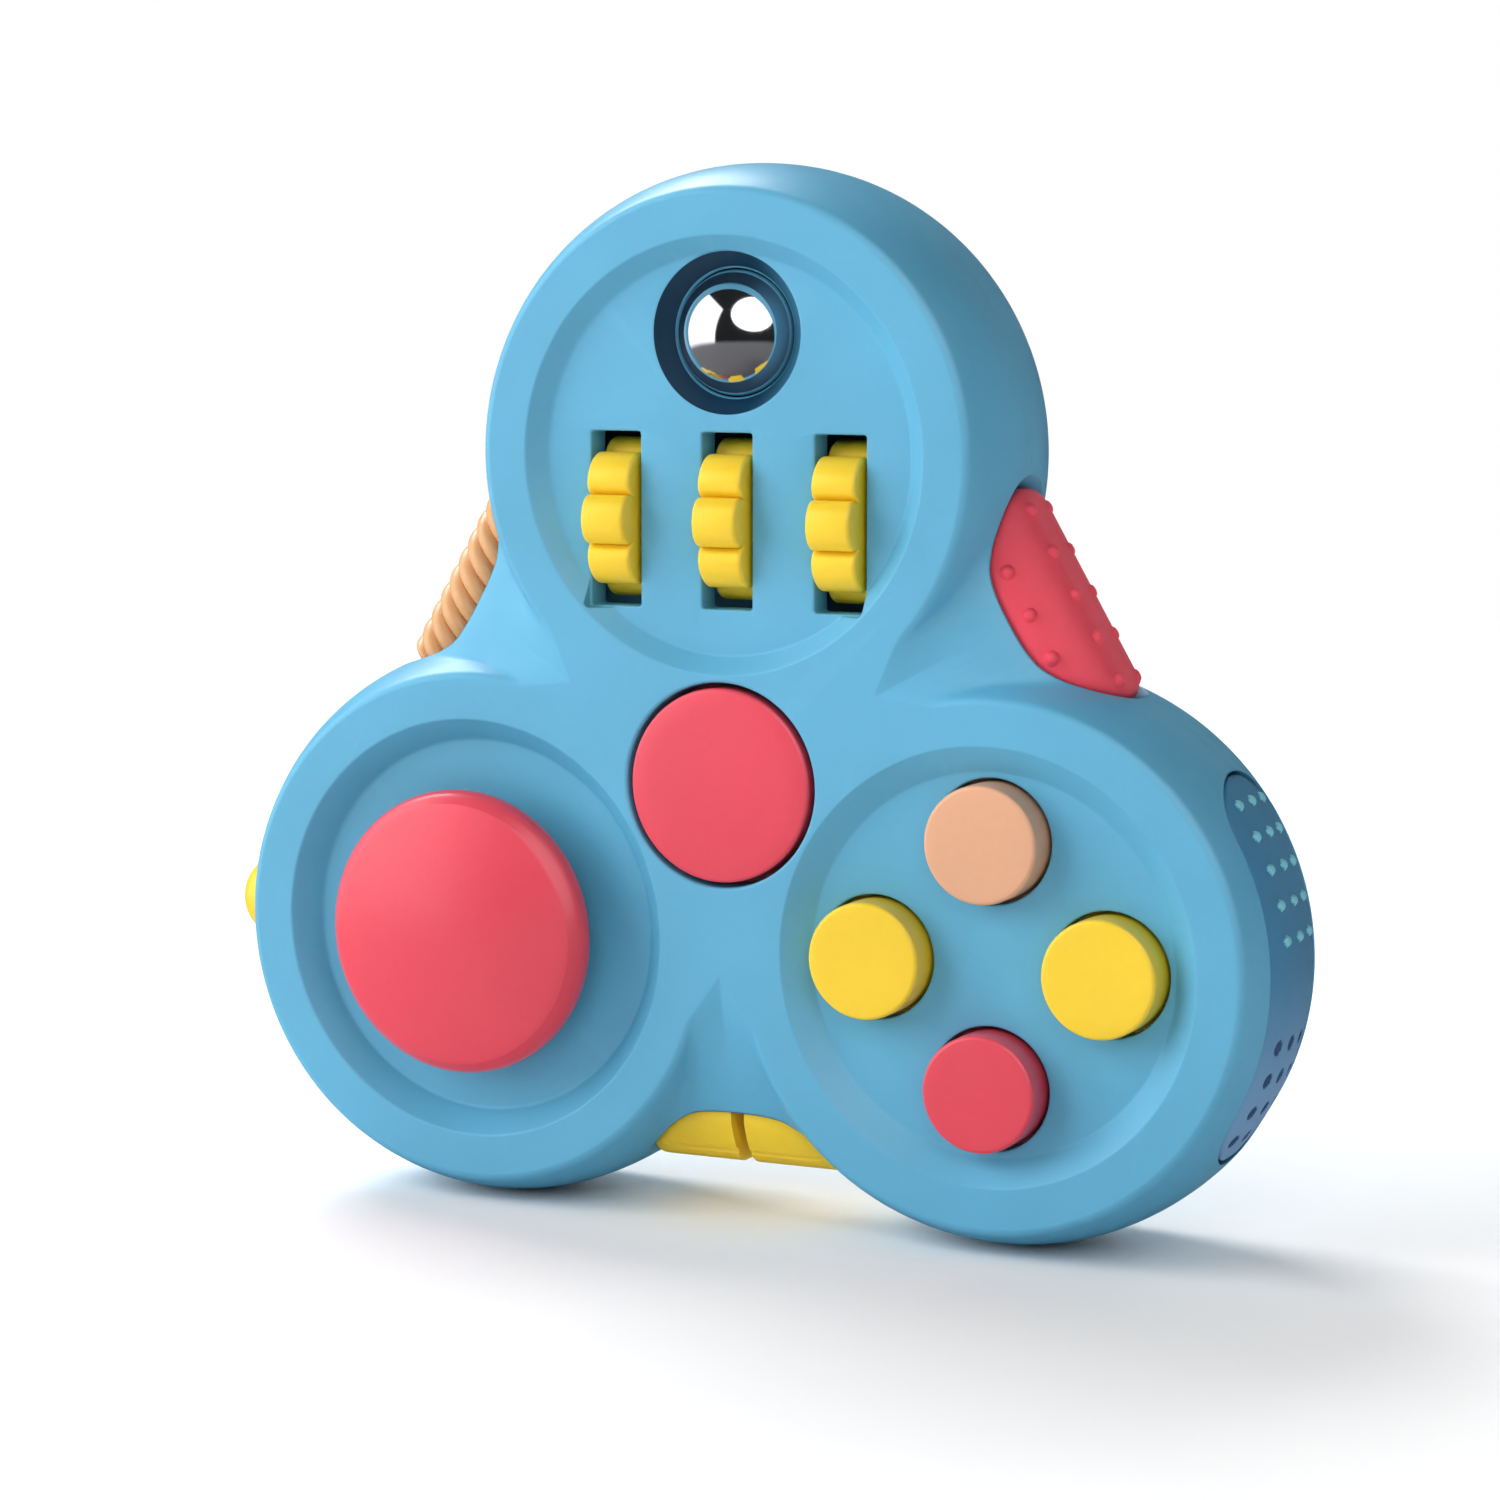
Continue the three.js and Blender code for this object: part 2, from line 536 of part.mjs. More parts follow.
put('thumb_spring', coil(2.0, yAt(9.3), yAt(11.9), 3, translation(LEFT_X, 0, LEFT_Z)), 'steel');

// Steel ball in a countersunk hole, held from behind by a seat.
// Arc about the ball's centre, ending on the axis at the back.
const ballArc = (radius, fromDegrees, steps) => [...Array(steps + 1)].map((_, i) => {
  const angle = rad(fromDegrees + (180 - fromDegrees) * i / steps);
  return [i === steps ? 0 : radius * Math.sin(angle), BALL_DEPTH - radius * Math.cos(angle)];
});
put('steel_ball', onFace(BALL_SPOT, ballArc(BALL_R, 0, 10), 20), 'steel');
const CUP_R = BALL_R + 0.12;
put('ball_seat', onFace(BALL_SPOT, [
  [0, 3.5], [6.8, 3.5], [6.8, 4.3], [5.7, 4.3], [5.7, 9.5], [0, 9.5],
], 22)
  .subtract(onFace(BALL_SPOT, [[0, 3.0], [CUP_R, 3.0], ...ballArc(CUP_R, 92, 5)], 22)), 'frame');

// Cog wheels: eight rounded teeth each, loose on one steel axle.
const cog = (x) => {
  const bevel = 0.3;
  const count = COG_TEETH * 5;
  const shape = new THREE.Shape([...Array(count)].map((_, i) => {
    const lift = Math.abs(Math.cos(COG_TEETH * Math.PI * i / count)) ** 0.75;
    const radius = COG_ROOT_R + (COG_TIP_R - COG_ROOT_R) * lift - bevel;
    return new THREE.Vector2(...polar(radius, 360 * i / count));
  }));
  const geometry = new THREE.ExtrudeGeometry(shape, {
    depth: COG_WIDTH - 2 * bevel,
    bevelEnabled: true,
    bevelThickness: bevel,
    bevelSize: bevel,
    bevelSegments: 1,
    curveSegments: 1,
  });
  geometry.translate(0, 0, -COG_WIDTH / 2 + bevel);
  geometry.rotateY(Math.PI / 2);
  return solid(geometry, translation(x, yAt(COG_DEPTH), COG_Z))
    .subtract(rod(AXLE_R + COG_FIT, 3, 20, alongX(x, COG_DEPTH, COG_Z)));
};
['cog_left', 'cog_middle', 'cog_right'].forEach((name, i) => put(name, cog(COG_XS[i]), 'yellow'));
put('cog_axle', turned([
  [0, -AXLE_HALF], [0.8, -AXLE_HALF], [AXLE_R, 0.2 - AXLE_HALF],
  [AXLE_R, AXLE_HALF - 0.2], [0.8, AXLE_HALF], [0, AXLE_HALF],
], 20, alongX(0, COG_DEPTH, COG_Z)), 'steel');
put('axle_clamp', union([
  box(around(0, AXLE_HALF), [10.75, 11.95], around(COG_Z, 2.5)),
  ...RIB_XS.map((x) => box(around(x, RIB_HALF), [5.6, 10.9], around(COG_Z, 0.95))),
]), 'frame');

// Rope-twist roller on a steel pin.
const ropeRoller = () => {
  const segments = 20;
  const steps = 18;
  const strands = 4;
  const lead = 6.2;
  const endLength = 0.7;
  const rings = [...Array(steps + 1)].map((_, i) => {
    const x = -ROLLER_HALF + 2 * ROLLER_HALF * i / steps;
    const endDrop = 0.55 * Math.max(0, (Math.abs(x) - ROLLER_HALF + endLength) / endLength) ** 2;
    return [...Array(segments)].map((__, k) => {
      const angle = 2 * Math.PI * k / segments;
      const strand = Math.abs(Math.cos(strands * (angle - 2 * Math.PI * x / lead) / 2)) ** 0.8;
      const radius = ROLLER_R - endDrop - 0.5 * (1 - strand);
      return [radius * Math.cos(angle), x, radius * Math.sin(angle)];
    });
  });
  return loft(rings, rollerPlace).subtract(rod(ROLLER_PIN_R + BORE_FIT, 9, 20, rollerPlace));
};
put('rope_roller', ropeRoller(), 'peach');
put('roller_pin', rod(ROLLER_PIN_R, ROLLER_PIN_HALF, 20, rollerPlace), 'steel');

// Pillow-shaped outer surface of the grip pad and the two keys: nearly flat across the middle,
// falling steeply at the long sides. "across" is the depth from the parting plane.
const PILLOW = 0.00175;
const crown = (across, top) => top - PILLOW * Math.abs(across) ** 5;
const crownSlope = (across) => -5 * PILLOW * across ** 3 * Math.abs(across);
// Concentric ovals from the rim inwards: [scale, drop at the ends].
const PILLOW_RINGS = [[1, 1.1], [0.97, 0.4], [0.91, 0.05], [0.8, 0], [0.62, 0], [0.35, 0]];
const pillowBlock = (frame, top, bottom, shift) => {
  const halfLength = OPENING.halfLength - INSERT_GAP;
  const points = oval(halfLength, OPENING.halfDepth - INSERT_GAP, 24);
  const ring = (scale, outAt) => points.map(([along, across]) => (
    [along * scale + shift, across * scale + yAt(SPLIT), outAt(along, across * scale)]));
  return loft([
    ring(1, () => bottom),
    ...PILLOW_RINGS.map(([scale, drop]) => ring(scale, (along, across) => (
      crown(across, top) - drop * (along / halfLength) ** 2))),
  ], frame);
};

// Grip pad in the right web, with four rows of small bumps.
const PAD_TOP = 27.95;
const padBump = (along, across) => turned([[0, -0.3], [0.42, -0.3], [0.42 * 0.8, 0.2], [0, 0.34]], 5,
  alongZ(along, across + SPLIT, crown(across, PAD_TOP), RIGHT_WEB)
    .multiply(rotationX(Math.atan(crownSlope(across)))));
// [across, number of bumps]
const padBumps = [[-4.3, 3], [-1.7, 5], [1.7, 5], [4.3, 3]].flatMap(([across, count]) => (
  [...Array(count)].map((_, i) => padBump((i - (count - 1) / 2) * 3.3 + 0.1, across))));
put('grip_pad', pillowBlock(RIGHT_WEB, PAD_TOP, 22.1, PAD_SHIFT)
  .add(box([-9.0, 9.0], [5.8, 9.2], [24.4, 25.4], RIGHT_WEB))
  .add(box(around(PAD_SHIFT, 6.0), [4.8, 10.2], [20.2, 22.4], RIGHT_WEB))
  .add(union(padBumps)), 'pad');

// Two rocking keys in the bottom web, each on its own cross pin, over a silicone strip.
// The web's local +x is the world's -X, so the left key is on its positive side.
const KEY_TOP = 28.05;
const keyBlock = pillowBlock(BOTTOM_WEB, KEY_TOP, 21.6, 0);
const [rightPinBore, leftPinBore] = keyPosts(KEY_PIN_R + BORE_FIT, [0, THICKNESS], 20);
const [rightPin, leftPin] = keyPosts(KEY_PIN_R, [3.0, 12.0], 16);
const keyGroove = (across) => box(
  [-12, 12], around(SPLIT + across, 0.15), [KEY_TOP - 1.35, KEY_TOP + 1], BOTTOM_WEB);
[
  ['key_left', [0.5, 12], leftPinBore, leftPin],
  ['key_right', [-12, -0.5], rightPinBore, rightPin],
].forEach(([name, range, bore, pin]) => {
  put(name, keyBlock
    .intersect(box(range, [0, THICKNESS], [18, 34], BOTTOM_WEB))
    .subtract(keyGroove(-3.4))
    .subtract(keyGroove(3.4))
    .subtract(bore), 'yellow');
  put(`${name}_pin`, pin, 'steel');
});
const KEY_STUD = [[0, 0], [1.5, 0], [1.2, 0.6], [0.7, 1.0], [0, 1.0]];
put('key_pad', box([-6.0, 6.0], [5.2, 9.8], [20.0, 20.5], BOTTOM_WEB)
  .add(union([-2.6, 2.6].map((along) => (
    turned(KEY_STUD, 16, alongZ(along, SPLIT, 20.45, BOTTOM_WEB)))))), 'silicone');

// Side button on the left lobe, with a return spring; [radius, distance from the lobe centre].
put('side_button', turned([
  [0, 23.45], [1.2, 23.32], [2.2, 22.9], [2.9, 22.2], [3.25, 21.4], [3.4, 20.4],
  [3.4, 17.3], [3.98, 17.3], [3.98, 16.6], [1.6, 16.6], [1.6, 15.4], [0, 15.4],
], 20, sidePlace), 'yellow');
put('side_spring', coil(2.2, 12.1, 16.5, 4, sidePlace), 'steel');

// Grip strip: small raised nubs on its upper half, small dimples on its lower half.
const STRIP_INSET = 0.15;
const NUB = [[0, -0.3], [0.55, -0.3], [0.42, 0.24], [0, 0.34]];
const DIMPLE = [[0, -0.28], [0.6, 0.3], [0, 0.3]];
const NUB_ANGLES = [35.2, 28.4, 21.5, 14.4, 7.4];
const DIMPLE_ANGLES = [-13.8, -20.8, -28.0, -35.0];
// The profile at each angle around the lobe, in three rows across the strip.
const stripStuds = (profile, angles) => union(angles.flatMap((angle) => (
  [-2.4, 0, 2.4].map((across) => {
    const depth = SPLIT + across;
    const [x, z] = polar(lobeRadius(depth) - STRIP_INSET, angle);
    const place = alongX(RIGHT_X + x, depth, RIGHT_Z + z).multiply(rotationX(rad(angle)));
    return turned(profile, 4, place);
  }))));
put('grip_strip', stripPrism(0)
  .intersect(barrel(STRIP_INSET, fiveDepths(1.8, 13.2)))
  .subtract(barrel(1.2, fiveDepths(1.5, 13.5)))
  .add(stripStuds(NUB, NUB_ANGLES))
  .subtract(stripStuds(DIMPLE, DIMPLE_ANGLES)), 'blueDark');

export default group;
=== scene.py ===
# A three-lobed hand-held gadget in a blue two-part casing: buttons, cogs, a steel ball,
# a thumb cap, a roller, a bump pad, two keys and a grip strip.
# Its front faces -Y and its back lies on y = 0. X runs to the right and Z up, with the
# origin on the middle axis. Lengths are in mm until make() turns them into metres.
# "Depth" is measured from the front face towards +Y. A "solid" is a (verts, faces) pair.
import json
import math

import bmesh
import bpy
import numpy as np
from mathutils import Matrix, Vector


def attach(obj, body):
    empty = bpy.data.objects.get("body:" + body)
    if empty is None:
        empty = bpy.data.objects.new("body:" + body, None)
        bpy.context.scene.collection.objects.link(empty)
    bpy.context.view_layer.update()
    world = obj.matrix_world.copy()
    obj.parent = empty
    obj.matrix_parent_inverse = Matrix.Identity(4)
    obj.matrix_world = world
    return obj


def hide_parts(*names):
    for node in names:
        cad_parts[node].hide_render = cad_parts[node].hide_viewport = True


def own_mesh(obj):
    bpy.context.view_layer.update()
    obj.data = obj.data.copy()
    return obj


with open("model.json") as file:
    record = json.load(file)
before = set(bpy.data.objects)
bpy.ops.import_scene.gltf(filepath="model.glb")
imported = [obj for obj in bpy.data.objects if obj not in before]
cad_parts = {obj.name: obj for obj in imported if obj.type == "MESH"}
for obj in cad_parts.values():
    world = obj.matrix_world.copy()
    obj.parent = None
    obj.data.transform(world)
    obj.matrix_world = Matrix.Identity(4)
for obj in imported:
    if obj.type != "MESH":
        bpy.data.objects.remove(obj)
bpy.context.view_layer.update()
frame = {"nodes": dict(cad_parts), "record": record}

MM = 0.001
rad = math.radians


def cosd(angle):
    return math.cos(rad(angle))


def sind(angle):
    return math.sin(rad(angle))


# ------------------------------------------------------------------ dimensions (mm, degrees)
THICK = 15.0
SPLIT = THICK / 2                   # depth of the parting plane
LOBE = 23.0                         # from the middle axis to a lobe's centre
LOBES = {"top": 90, "left": 210, "right": 330}
WEBS = {"right": 30, "left": 150, "bottom": 270}    # the sides between the lobes
R_FACE, R_MID, BARREL_EXP = 18.45, 20.3, 2.4        # a lobe's radius at its faces and middle
WEB_FACE, WEB_MID, WEB_RISE = 13.8, 25.8, 2.8       # a web's distance out, likewise
EDGE = 0.4                          # rounding of the faces' edges
WALL, CEIL, BACK = 1.9, 3.4, 13.1   # wall; depths where the cavity begins and ends

DISC_R = 15.12                      # round recess in each lobe's face
DISC = {"top": (1.20, 14.0), "left": (1.93, 13.6), "right": (1.38, 13.4)}  # depth, floor radius

BTN_X, BTN_R, BTN_FRONT = 8.6, 4.1, -0.95
CENTRE_R, CENTRE_HOLE = 6.85, 7.24
WHEEL_X, WHEEL_Z, WHEEL_D = (-8.65, 0.0, 8.65), 18.43, 4.5
WHEEL_TIP, WHEEL_ROOT, WHEEL_W = 5.7, 4.35, 3.3
SLOT_W, SLOT_H = 3.9, 12.35
BALL_Z, BALL_R, BALL_D = 31.5, 4.55, 3.95
SCREW_O = 10.95

OPEN_A, OPEN_D, OPEN_EXP = 8.6, 4.85, 2.6   # web openings: half length, half width, squareness
OPEN_GAP = 0.28                             # between an opening and the part that fills it
ROLL_O, ROLL_R, ROLL_HALF, ROLL_PIN = 25.3, 3.3, 7.1, 0.8
STRIP_ANG, STRIP_HALF = 41.5, 4.8
PAD_SHIFT, PAD_TOP, KEY_TOP = -0.15, 27.95, 28.05
PILLOW = 0.0080                     # crowning of the pad and keys
KEY_PIN_A, KEY_PIN_O, KEY_PIN_R = 6.6, 23.6, 0.6
BORE_GAP = 0.07                     # between a pin and its hole


def y_at(depth):
    return depth - THICK


Y_SPLIT = y_at(SPLIT)
LOBE_AT = {name: (LOBE * cosd(a), LOBE * sind(a)) for name, a in LOBES.items()}
LX, LZ = LOBE_AT["left"]
RX, RZ = LOBE_AT["right"]
BUTTON_AT = {
    "button_top": (RX, RZ + BTN_X),
    "button_left": (RX - BTN_X, RZ),
    "button_right": (RX + BTN_X, RZ),
    "button_bottom": (RX, RZ - BTN_X),
}
SCREW_AT = [(SCREW_O * cosd(a), SCREW_O * sind(a)) for a in WEBS.values()]
SIDE_SPRING_FOOT = 12.1             # from the left lobe's centre towards -X


# ------------------------------------------------------------------ mesh objects
def finish(ob, material=None, angle=32.0, weighted=True):
    """Smooth shading, split where the surface turns by more than the angle."""
    mesh = ob.data
    mesh.shade_smooth()
    mesh.set_sharp_from_angle(angle=rad(angle))
    if material:
        mesh.materials.clear()
        mesh.materials.append(material)
    if weighted:
        modifier = ob.modifiers.new("weighted", "WEIGHTED_NORMAL")
        modifier.keep_sharp = True
        modifier.weight = 50


def make(name, solid, material=None, angle=32.0, weighted=True, recalc=True):
    """A finished object from a solid, with its faces turned outward."""
    verts, faces = solid
    mesh = bpy.data.meshes.new(name)
    mesh.from_pydata((np.asarray(verts, dtype=float) * MM).tolist(), [], faces)
    mesh.update()
    if recalc:
        bm = bmesh.new()
        bm.from_mesh(mesh)
        bmesh.ops.remove_doubles(bm, verts=bm.verts, dist=1e-8)
        bmesh.ops.recalc_face_normals(bm, faces=bm.faces)
        bm.to_mesh(mesh)
        bm.free()
    ob = bpy.data.objects.new(name, mesh)
    bpy.context.scene.collection.objects.link(ob)
    finish(ob, material, angle, weighted)
    return ob


def blank(name, solid):
    """A plain object that is still to be cut, or cuts another."""
    return make(name, solid, weighted=False)


def cutter(*solids):
    """One blank of several solids that don't touch one another."""
    verts, faces, start = [], [], 0
    for solid_verts, solid_faces in solids:
        verts.append(np.asarray(solid_verts, dtype=float))
        faces += [tuple(i + start for i in face) for face in solid_faces]
        start += len(solid_verts)
    return blank("cutter", (np.concatenate(verts), faces))


def boolean(ob, tool, operation="DIFFERENCE"):
    """Cuts or joins ob with the tool, keeps the result as its mesh and removes the tool."""
    modifier = ob.modifiers.new("cut", "BOOLEAN")
    modifier.operation = operation
    modifier.object = tool
    modifier.solver = "MANIFOLD"
    bpy.context.view_layer.update()
    depsgraph = bpy.context.evaluated_depsgraph_get()
    mesh = bpy.data.meshes.new_from_object(ob.evaluated_get(depsgraph))
    ob.modifiers.clear()
    old = ob.data
    ob.data = mesh
    bpy.data.meshes.remove(old)
    tool_mesh = tool.data
    bpy.data.objects.remove(tool, do_unlink=True)
    bpy.data.meshes.remove(tool_mesh)


def tidy(ob):
    """Drops the slivers that cuts leave."""
    bm = bmesh.new()
    bm.from_mesh(ob.data)
    bmesh.ops.remove_doubles(bm, verts=bm.verts, dist=2e-6)
    bmesh.ops.dissolve_degenerate(bm, edges=bm.edges, dist=1e-6)
    bm.to_mesh(ob.data)
    bm.free()


# ------------------------------------------------------------------ solids
def lofted(rings):
    """A body through rings of equal length, closed by one flat face at each end."""
    n = len(rings[0])
    verts = np.concatenate([np.asarray(ring, dtype=float) for ring in rings])
    faces = []
    for k in range(len(rings) - 1):
        a = k * n
        faces += [(a + i, a + (i + 1) % n, a + n + (i + 1) % n, a + n + i) for i in range(n)]
    faces.append(tuple(range(n))[::-1])
    faces.append(tuple(range((len(rings) - 1) * n, len(rings) * n)))
    return verts, faces


def turned(profile, segments):
    """A body turned about Y from (radius, y) points that start and end on the axis."""
    verts, rows = [], []
    t = 2 * np.pi * np.arange(segments) / segments
    for r, y in profile:
        if r < 1e-7:
            rows.append([len(verts)])
            verts.append((0.0, y, 0.0))
        else:
            rows.append(list(range(len(verts), len(verts) + segments)))
            verts += list(zip(r * np.cos(t), np.full(segments, y), r * np.sin(t)))
    faces = []
    for a, b in zip(rows, rows[1:]):
        for i in range(segments):
            j = (i + 1) % segments
            if len(a) == 1:
                faces.append((a[0], b[j], b[i]))
            elif len(b) == 1:
                faces.append((a[i], a[j], b[0]))
            else:
                faces.append((a[i], a[j], b[j], b[i]))
    return np.array(verts), faces


def rod(radius, start, end):
    """Profile of a plain cylinder."""
    return [(0, start), (radius, start), (radius, end), (0, end)]


def box(low, high):
    x0, y0, z0 = low
    x1, y1, z1 = high
    verts = [
        (x0, y0, z0), (x1, y0, z0), (x1, y1, z0), (x0, y1, z0),
        (x0, y0, z1), (x1, y0, z1), (x1, y1, z1), (x0, y1, z1),
    ]
    faces = [(0, 3, 2, 1), (4, 5, 6, 7), (0, 1, 5, 4), (1, 2, 6, 5), (2, 3, 7, 6), (3, 0, 4, 7)]
    return np.array(verts, dtype=float), faces


def face_turned(x, z, profile, segments):
    """A turned body square to the front, from (radius, depth) points."""
    verts, faces = turned([(r, y_at(depth)) for r, depth in profile], segments)
    return verts + np.array([x, 0.0, z]), faces


def on_web(web, solid):
    """Moves a solid from a web's own (along, y, out) to the object's axes."""
    verts, faces = solid
    t = rad(WEBS[web])
    along = np.array([math.sin(t), 0, -math.cos(t)])
    out = np.array([math.cos(t), 0, math.sin(t)])
    verts = np.asarray(verts, dtype=float)
    placed = verts[:, :1] * along + verts[:, 1:2] * np.array([0, 1.0, 0]) + verts[:, 2:3] * out
    return placed, faces


def web_turned(web, profile, segments, out):
    """A turned body whose axis runs along a web on the parting plane."""
    verts, faces = turned(profile, segments)
    x, y, z = verts.T
    return on_web(web, (np.stack([y, x + Y_SPLIT, z + out], axis=1), faces))


def towards_minus_x(solid):
    """Lays a body's Y axis along -X, starting from the left lobe's centre."""
    verts, faces = solid
    x, y, z = np.asarray(verts, dtype=float).T
    return np.stack([LX - y, x + Y_SPLIT, z + LZ], axis=1), faces


# ------------------------------------------------------------------ outer form
def smooth_min(a, b, blend):
    h = np.maximum(blend - np.abs(a - b), 0) / blend
    return np.minimum(a, b) - h * h * blend * 0.25


def from_face(depth):
    """Distance to the nearer face."""
    return min(depth, THICK - depth)


def edge_loss(depth):
    """How far the rounded edge draws the outline in."""
    h = from_face(depth)
    if h >= EDGE:
        return 0.0
    return EDGE * (1 - math.sqrt(max(0.0, 1 - ((EDGE - h) / EDGE) ** 2)))


def lobe_radius(depth):
    bulge = 1 - abs(2 * depth / THICK - 1) ** BARREL_EXP
    return R_FACE + (R_MID - R_FACE) * bulge - edge_loss(depth)


def web_ramp(u):
    return WEB_RISE * u / (1 + (WEB_RISE * u) ** 4) ** 0.25


def web_out(depth):
    rise = web_ramp(2 * from_face(depth) / THICK)
    return WEB_FACE + (WEB_MID - WEB_FACE) * rise / web_ramp(1) - edge_loss(depth)


def outline_field(x, z, depth, inset):
    """Negative inside the outline at a depth: three lobes blended into three webs."""
    blend = 0.2 + 1.6 * min(from_face(depth) / 4, 1)
    # near the faces each web's outline has a shallow V at its middle
    vee, vee_half, web_half = 1.35 * max(0.0, 1 - from_face(depth) / 1.6), 2.6, 16
    lobes = np.full_like(x, 1e3)
    for lobe_x, lobe_z in LOBE_AT.values():
        to_lobe = np.hypot(x - lobe_x, z - lobe_z) - lobe_radius(depth) + inset
        lobes = smooth_min(lobes, to_lobe, blend)
    webs = np.full_like(x, 1e3)
    for angle in WEBS.values():
        out = x * cosd(angle) + z * sind(angle)
        along = np.abs(x * sind(angle) - z * cosd(angle))
        side = (out - web_out(depth) - vee * np.minimum(along, vee_half)) / math.hypot(1, vee)
        webs = np.minimum(webs, np.maximum(np.maximum(side + inset, along - web_half), -out))
    return smooth_min(lobes, webs, blend)


def reach(angles, depth, inset=0.0):
    """Distance from the middle axis to the outline, found by halving."""
    c, s = np.cos(angles), np.sin(angles)
    low, high = np.full_like(angles, 8.0), np.full_like(angles, 50.0)
    for _ in range(40):
        middle = (low + high) / 2
        inside = outline_field(middle * c, middle * s, depth, inset) < 0
        low, high = np.where(inside, middle, low), np.where(inside, high, middle)
    return low


def even_angles(count, depth):
    """Angles that space the outline at a depth evenly."""
    a = np.linspace(0, 2 * np.pi, 7201)
    r = reach(a, depth)
    x, z = r * np.cos(a), r * np.sin(a)
    length = np.concatenate([[0], np.cumsum(np.hypot(np.diff(x), np.diff(z)))])
    return np.interp(np.linspace(0, length[-1], count, endpoint=False), length, a)


# the outline's angles: evenly spaced, with extra ones about each web's middle
ANGLES = [even_angles(900, 1.0)]
ANGLES += [np.radians(a + np.linspace(-12, 12, 81)) for a in WEBS.values()]
ANGLES = np.unique(np.concatenate(ANGLES).round(6))
ANGLES = ANGLES[np.concatenate([np.diff(ANGLES) > 2e-4, [True]])]


def outline_rings(depths, angles, inset=0.0):
    rings = []
    for depth in depths:
        r = reach(angles, depth, inset)
        y = np.full_like(r, y_at(depth))
        rings.append(np.stack([r * np.cos(angles), y, r * np.sin(angles)], axis=1))
    return rings


# depths of the rings from a face to the parting plane
SHELL_DEPTHS = [EDGE * (1 - cosd(a)) for a in (0, 12, 26, 42, 58, 74, 90)]
SHELL_DEPTHS += [0.55, 0.75, 1.0, 1.3, 1.65, 2.05, 2.5, 3.0, 3.6, 4.3, 5.1, 6.0, 6.8]


def oval(half_length, half_width, count):
    t = 2 * np.pi * (np.arange(count) + 0.5) / count
    c, s = np.cos(t), np.sin(t)
    x = np.sign(c) * half_length * np.abs(c) ** (2 / OPEN_EXP)
    y = np.sign(s) * half_width * np.abs(s) ** (2 / OPEN_EXP)
    return np.stack([x, y], axis=1)


# ------------------------------------------------------------------ shader nodes
def linear(colour):
    """sRGB 0-255 to linear RGBA."""
    values = [v / 255.0 for v in colour]
    values = [v / 12.92 if v <= 0.04045 else ((v + 0.055) / 1.055) ** 2.4 for v in values]
    return tuple(values) + (1.0,)


def tinted(colour, factor, lift=0.0):
    return tuple(min(1, v * factor + lift) for v in colour[:3]) + (1,)


def node(tree, kind, inputs=None, **settings):
    """Adds a node. Each input is given a value, or the socket that feeds it."""
    added = tree.nodes.new("ShaderNode" + kind)
    for name, value in settings.items():
        setattr(added, name, value)
    for name, value in (inputs or {}).items():
        if isinstance(value, bpy.types.NodeSocket):
            tree.links.new(value, added.inputs[name])
        else:
            added.inputs[name].default_value = value
    return added


def noise(tree, coords, scale, detail=2.0, rough=0.5):
    inputs = {"Vector": coords, "Scale": scale, "Detail": detail, "Roughness": rough}
    return node(tree, "TexNoise", inputs).outputs["Fac"]


def remap(tree, value, low, high, to_low=0.0, to_high=1.0, **settings):
    inputs = {"Value": value, "From Min": low, "From Max": high,
              "To Min": to_low, "To Max": to_high}
    return node(tree, "MapRange", inputs, **settings).outputs[0]


def mix_colour(tree, factor, a, b, blend_type="MIX"):
    inputs = {"Factor": factor, "A": a, "B": b}
    mixed = node(tree, "Mix", inputs, data_type="RGBA", blend_type=blend_type)
    return mixed.outputs["Result"]


def mix_shader(tree, factor, a, b):
    return node(tree, "MixShader", {0: factor, 1: a, 2: b}).outputs[0]


def multiply(tree, a, b):
    return node(tree, "Math", {0: a, 1: b}, operation="MULTIPLY").outputs[0]


def bump(tree, inputs):
    return node(tree, "Bump", inputs).outputs[0]


def empty_material(name):
    material = bpy.data.materials.new(name)
    material.use_nodes = True
    material.node_tree.nodes.clear()
    return material, material.node_tree


def principled_out(tree, inputs):
    bsdf = node(tree, "BsdfPrincipled", inputs)
    node(tree, "OutputMaterial", {0: bsdf.outputs[0]})


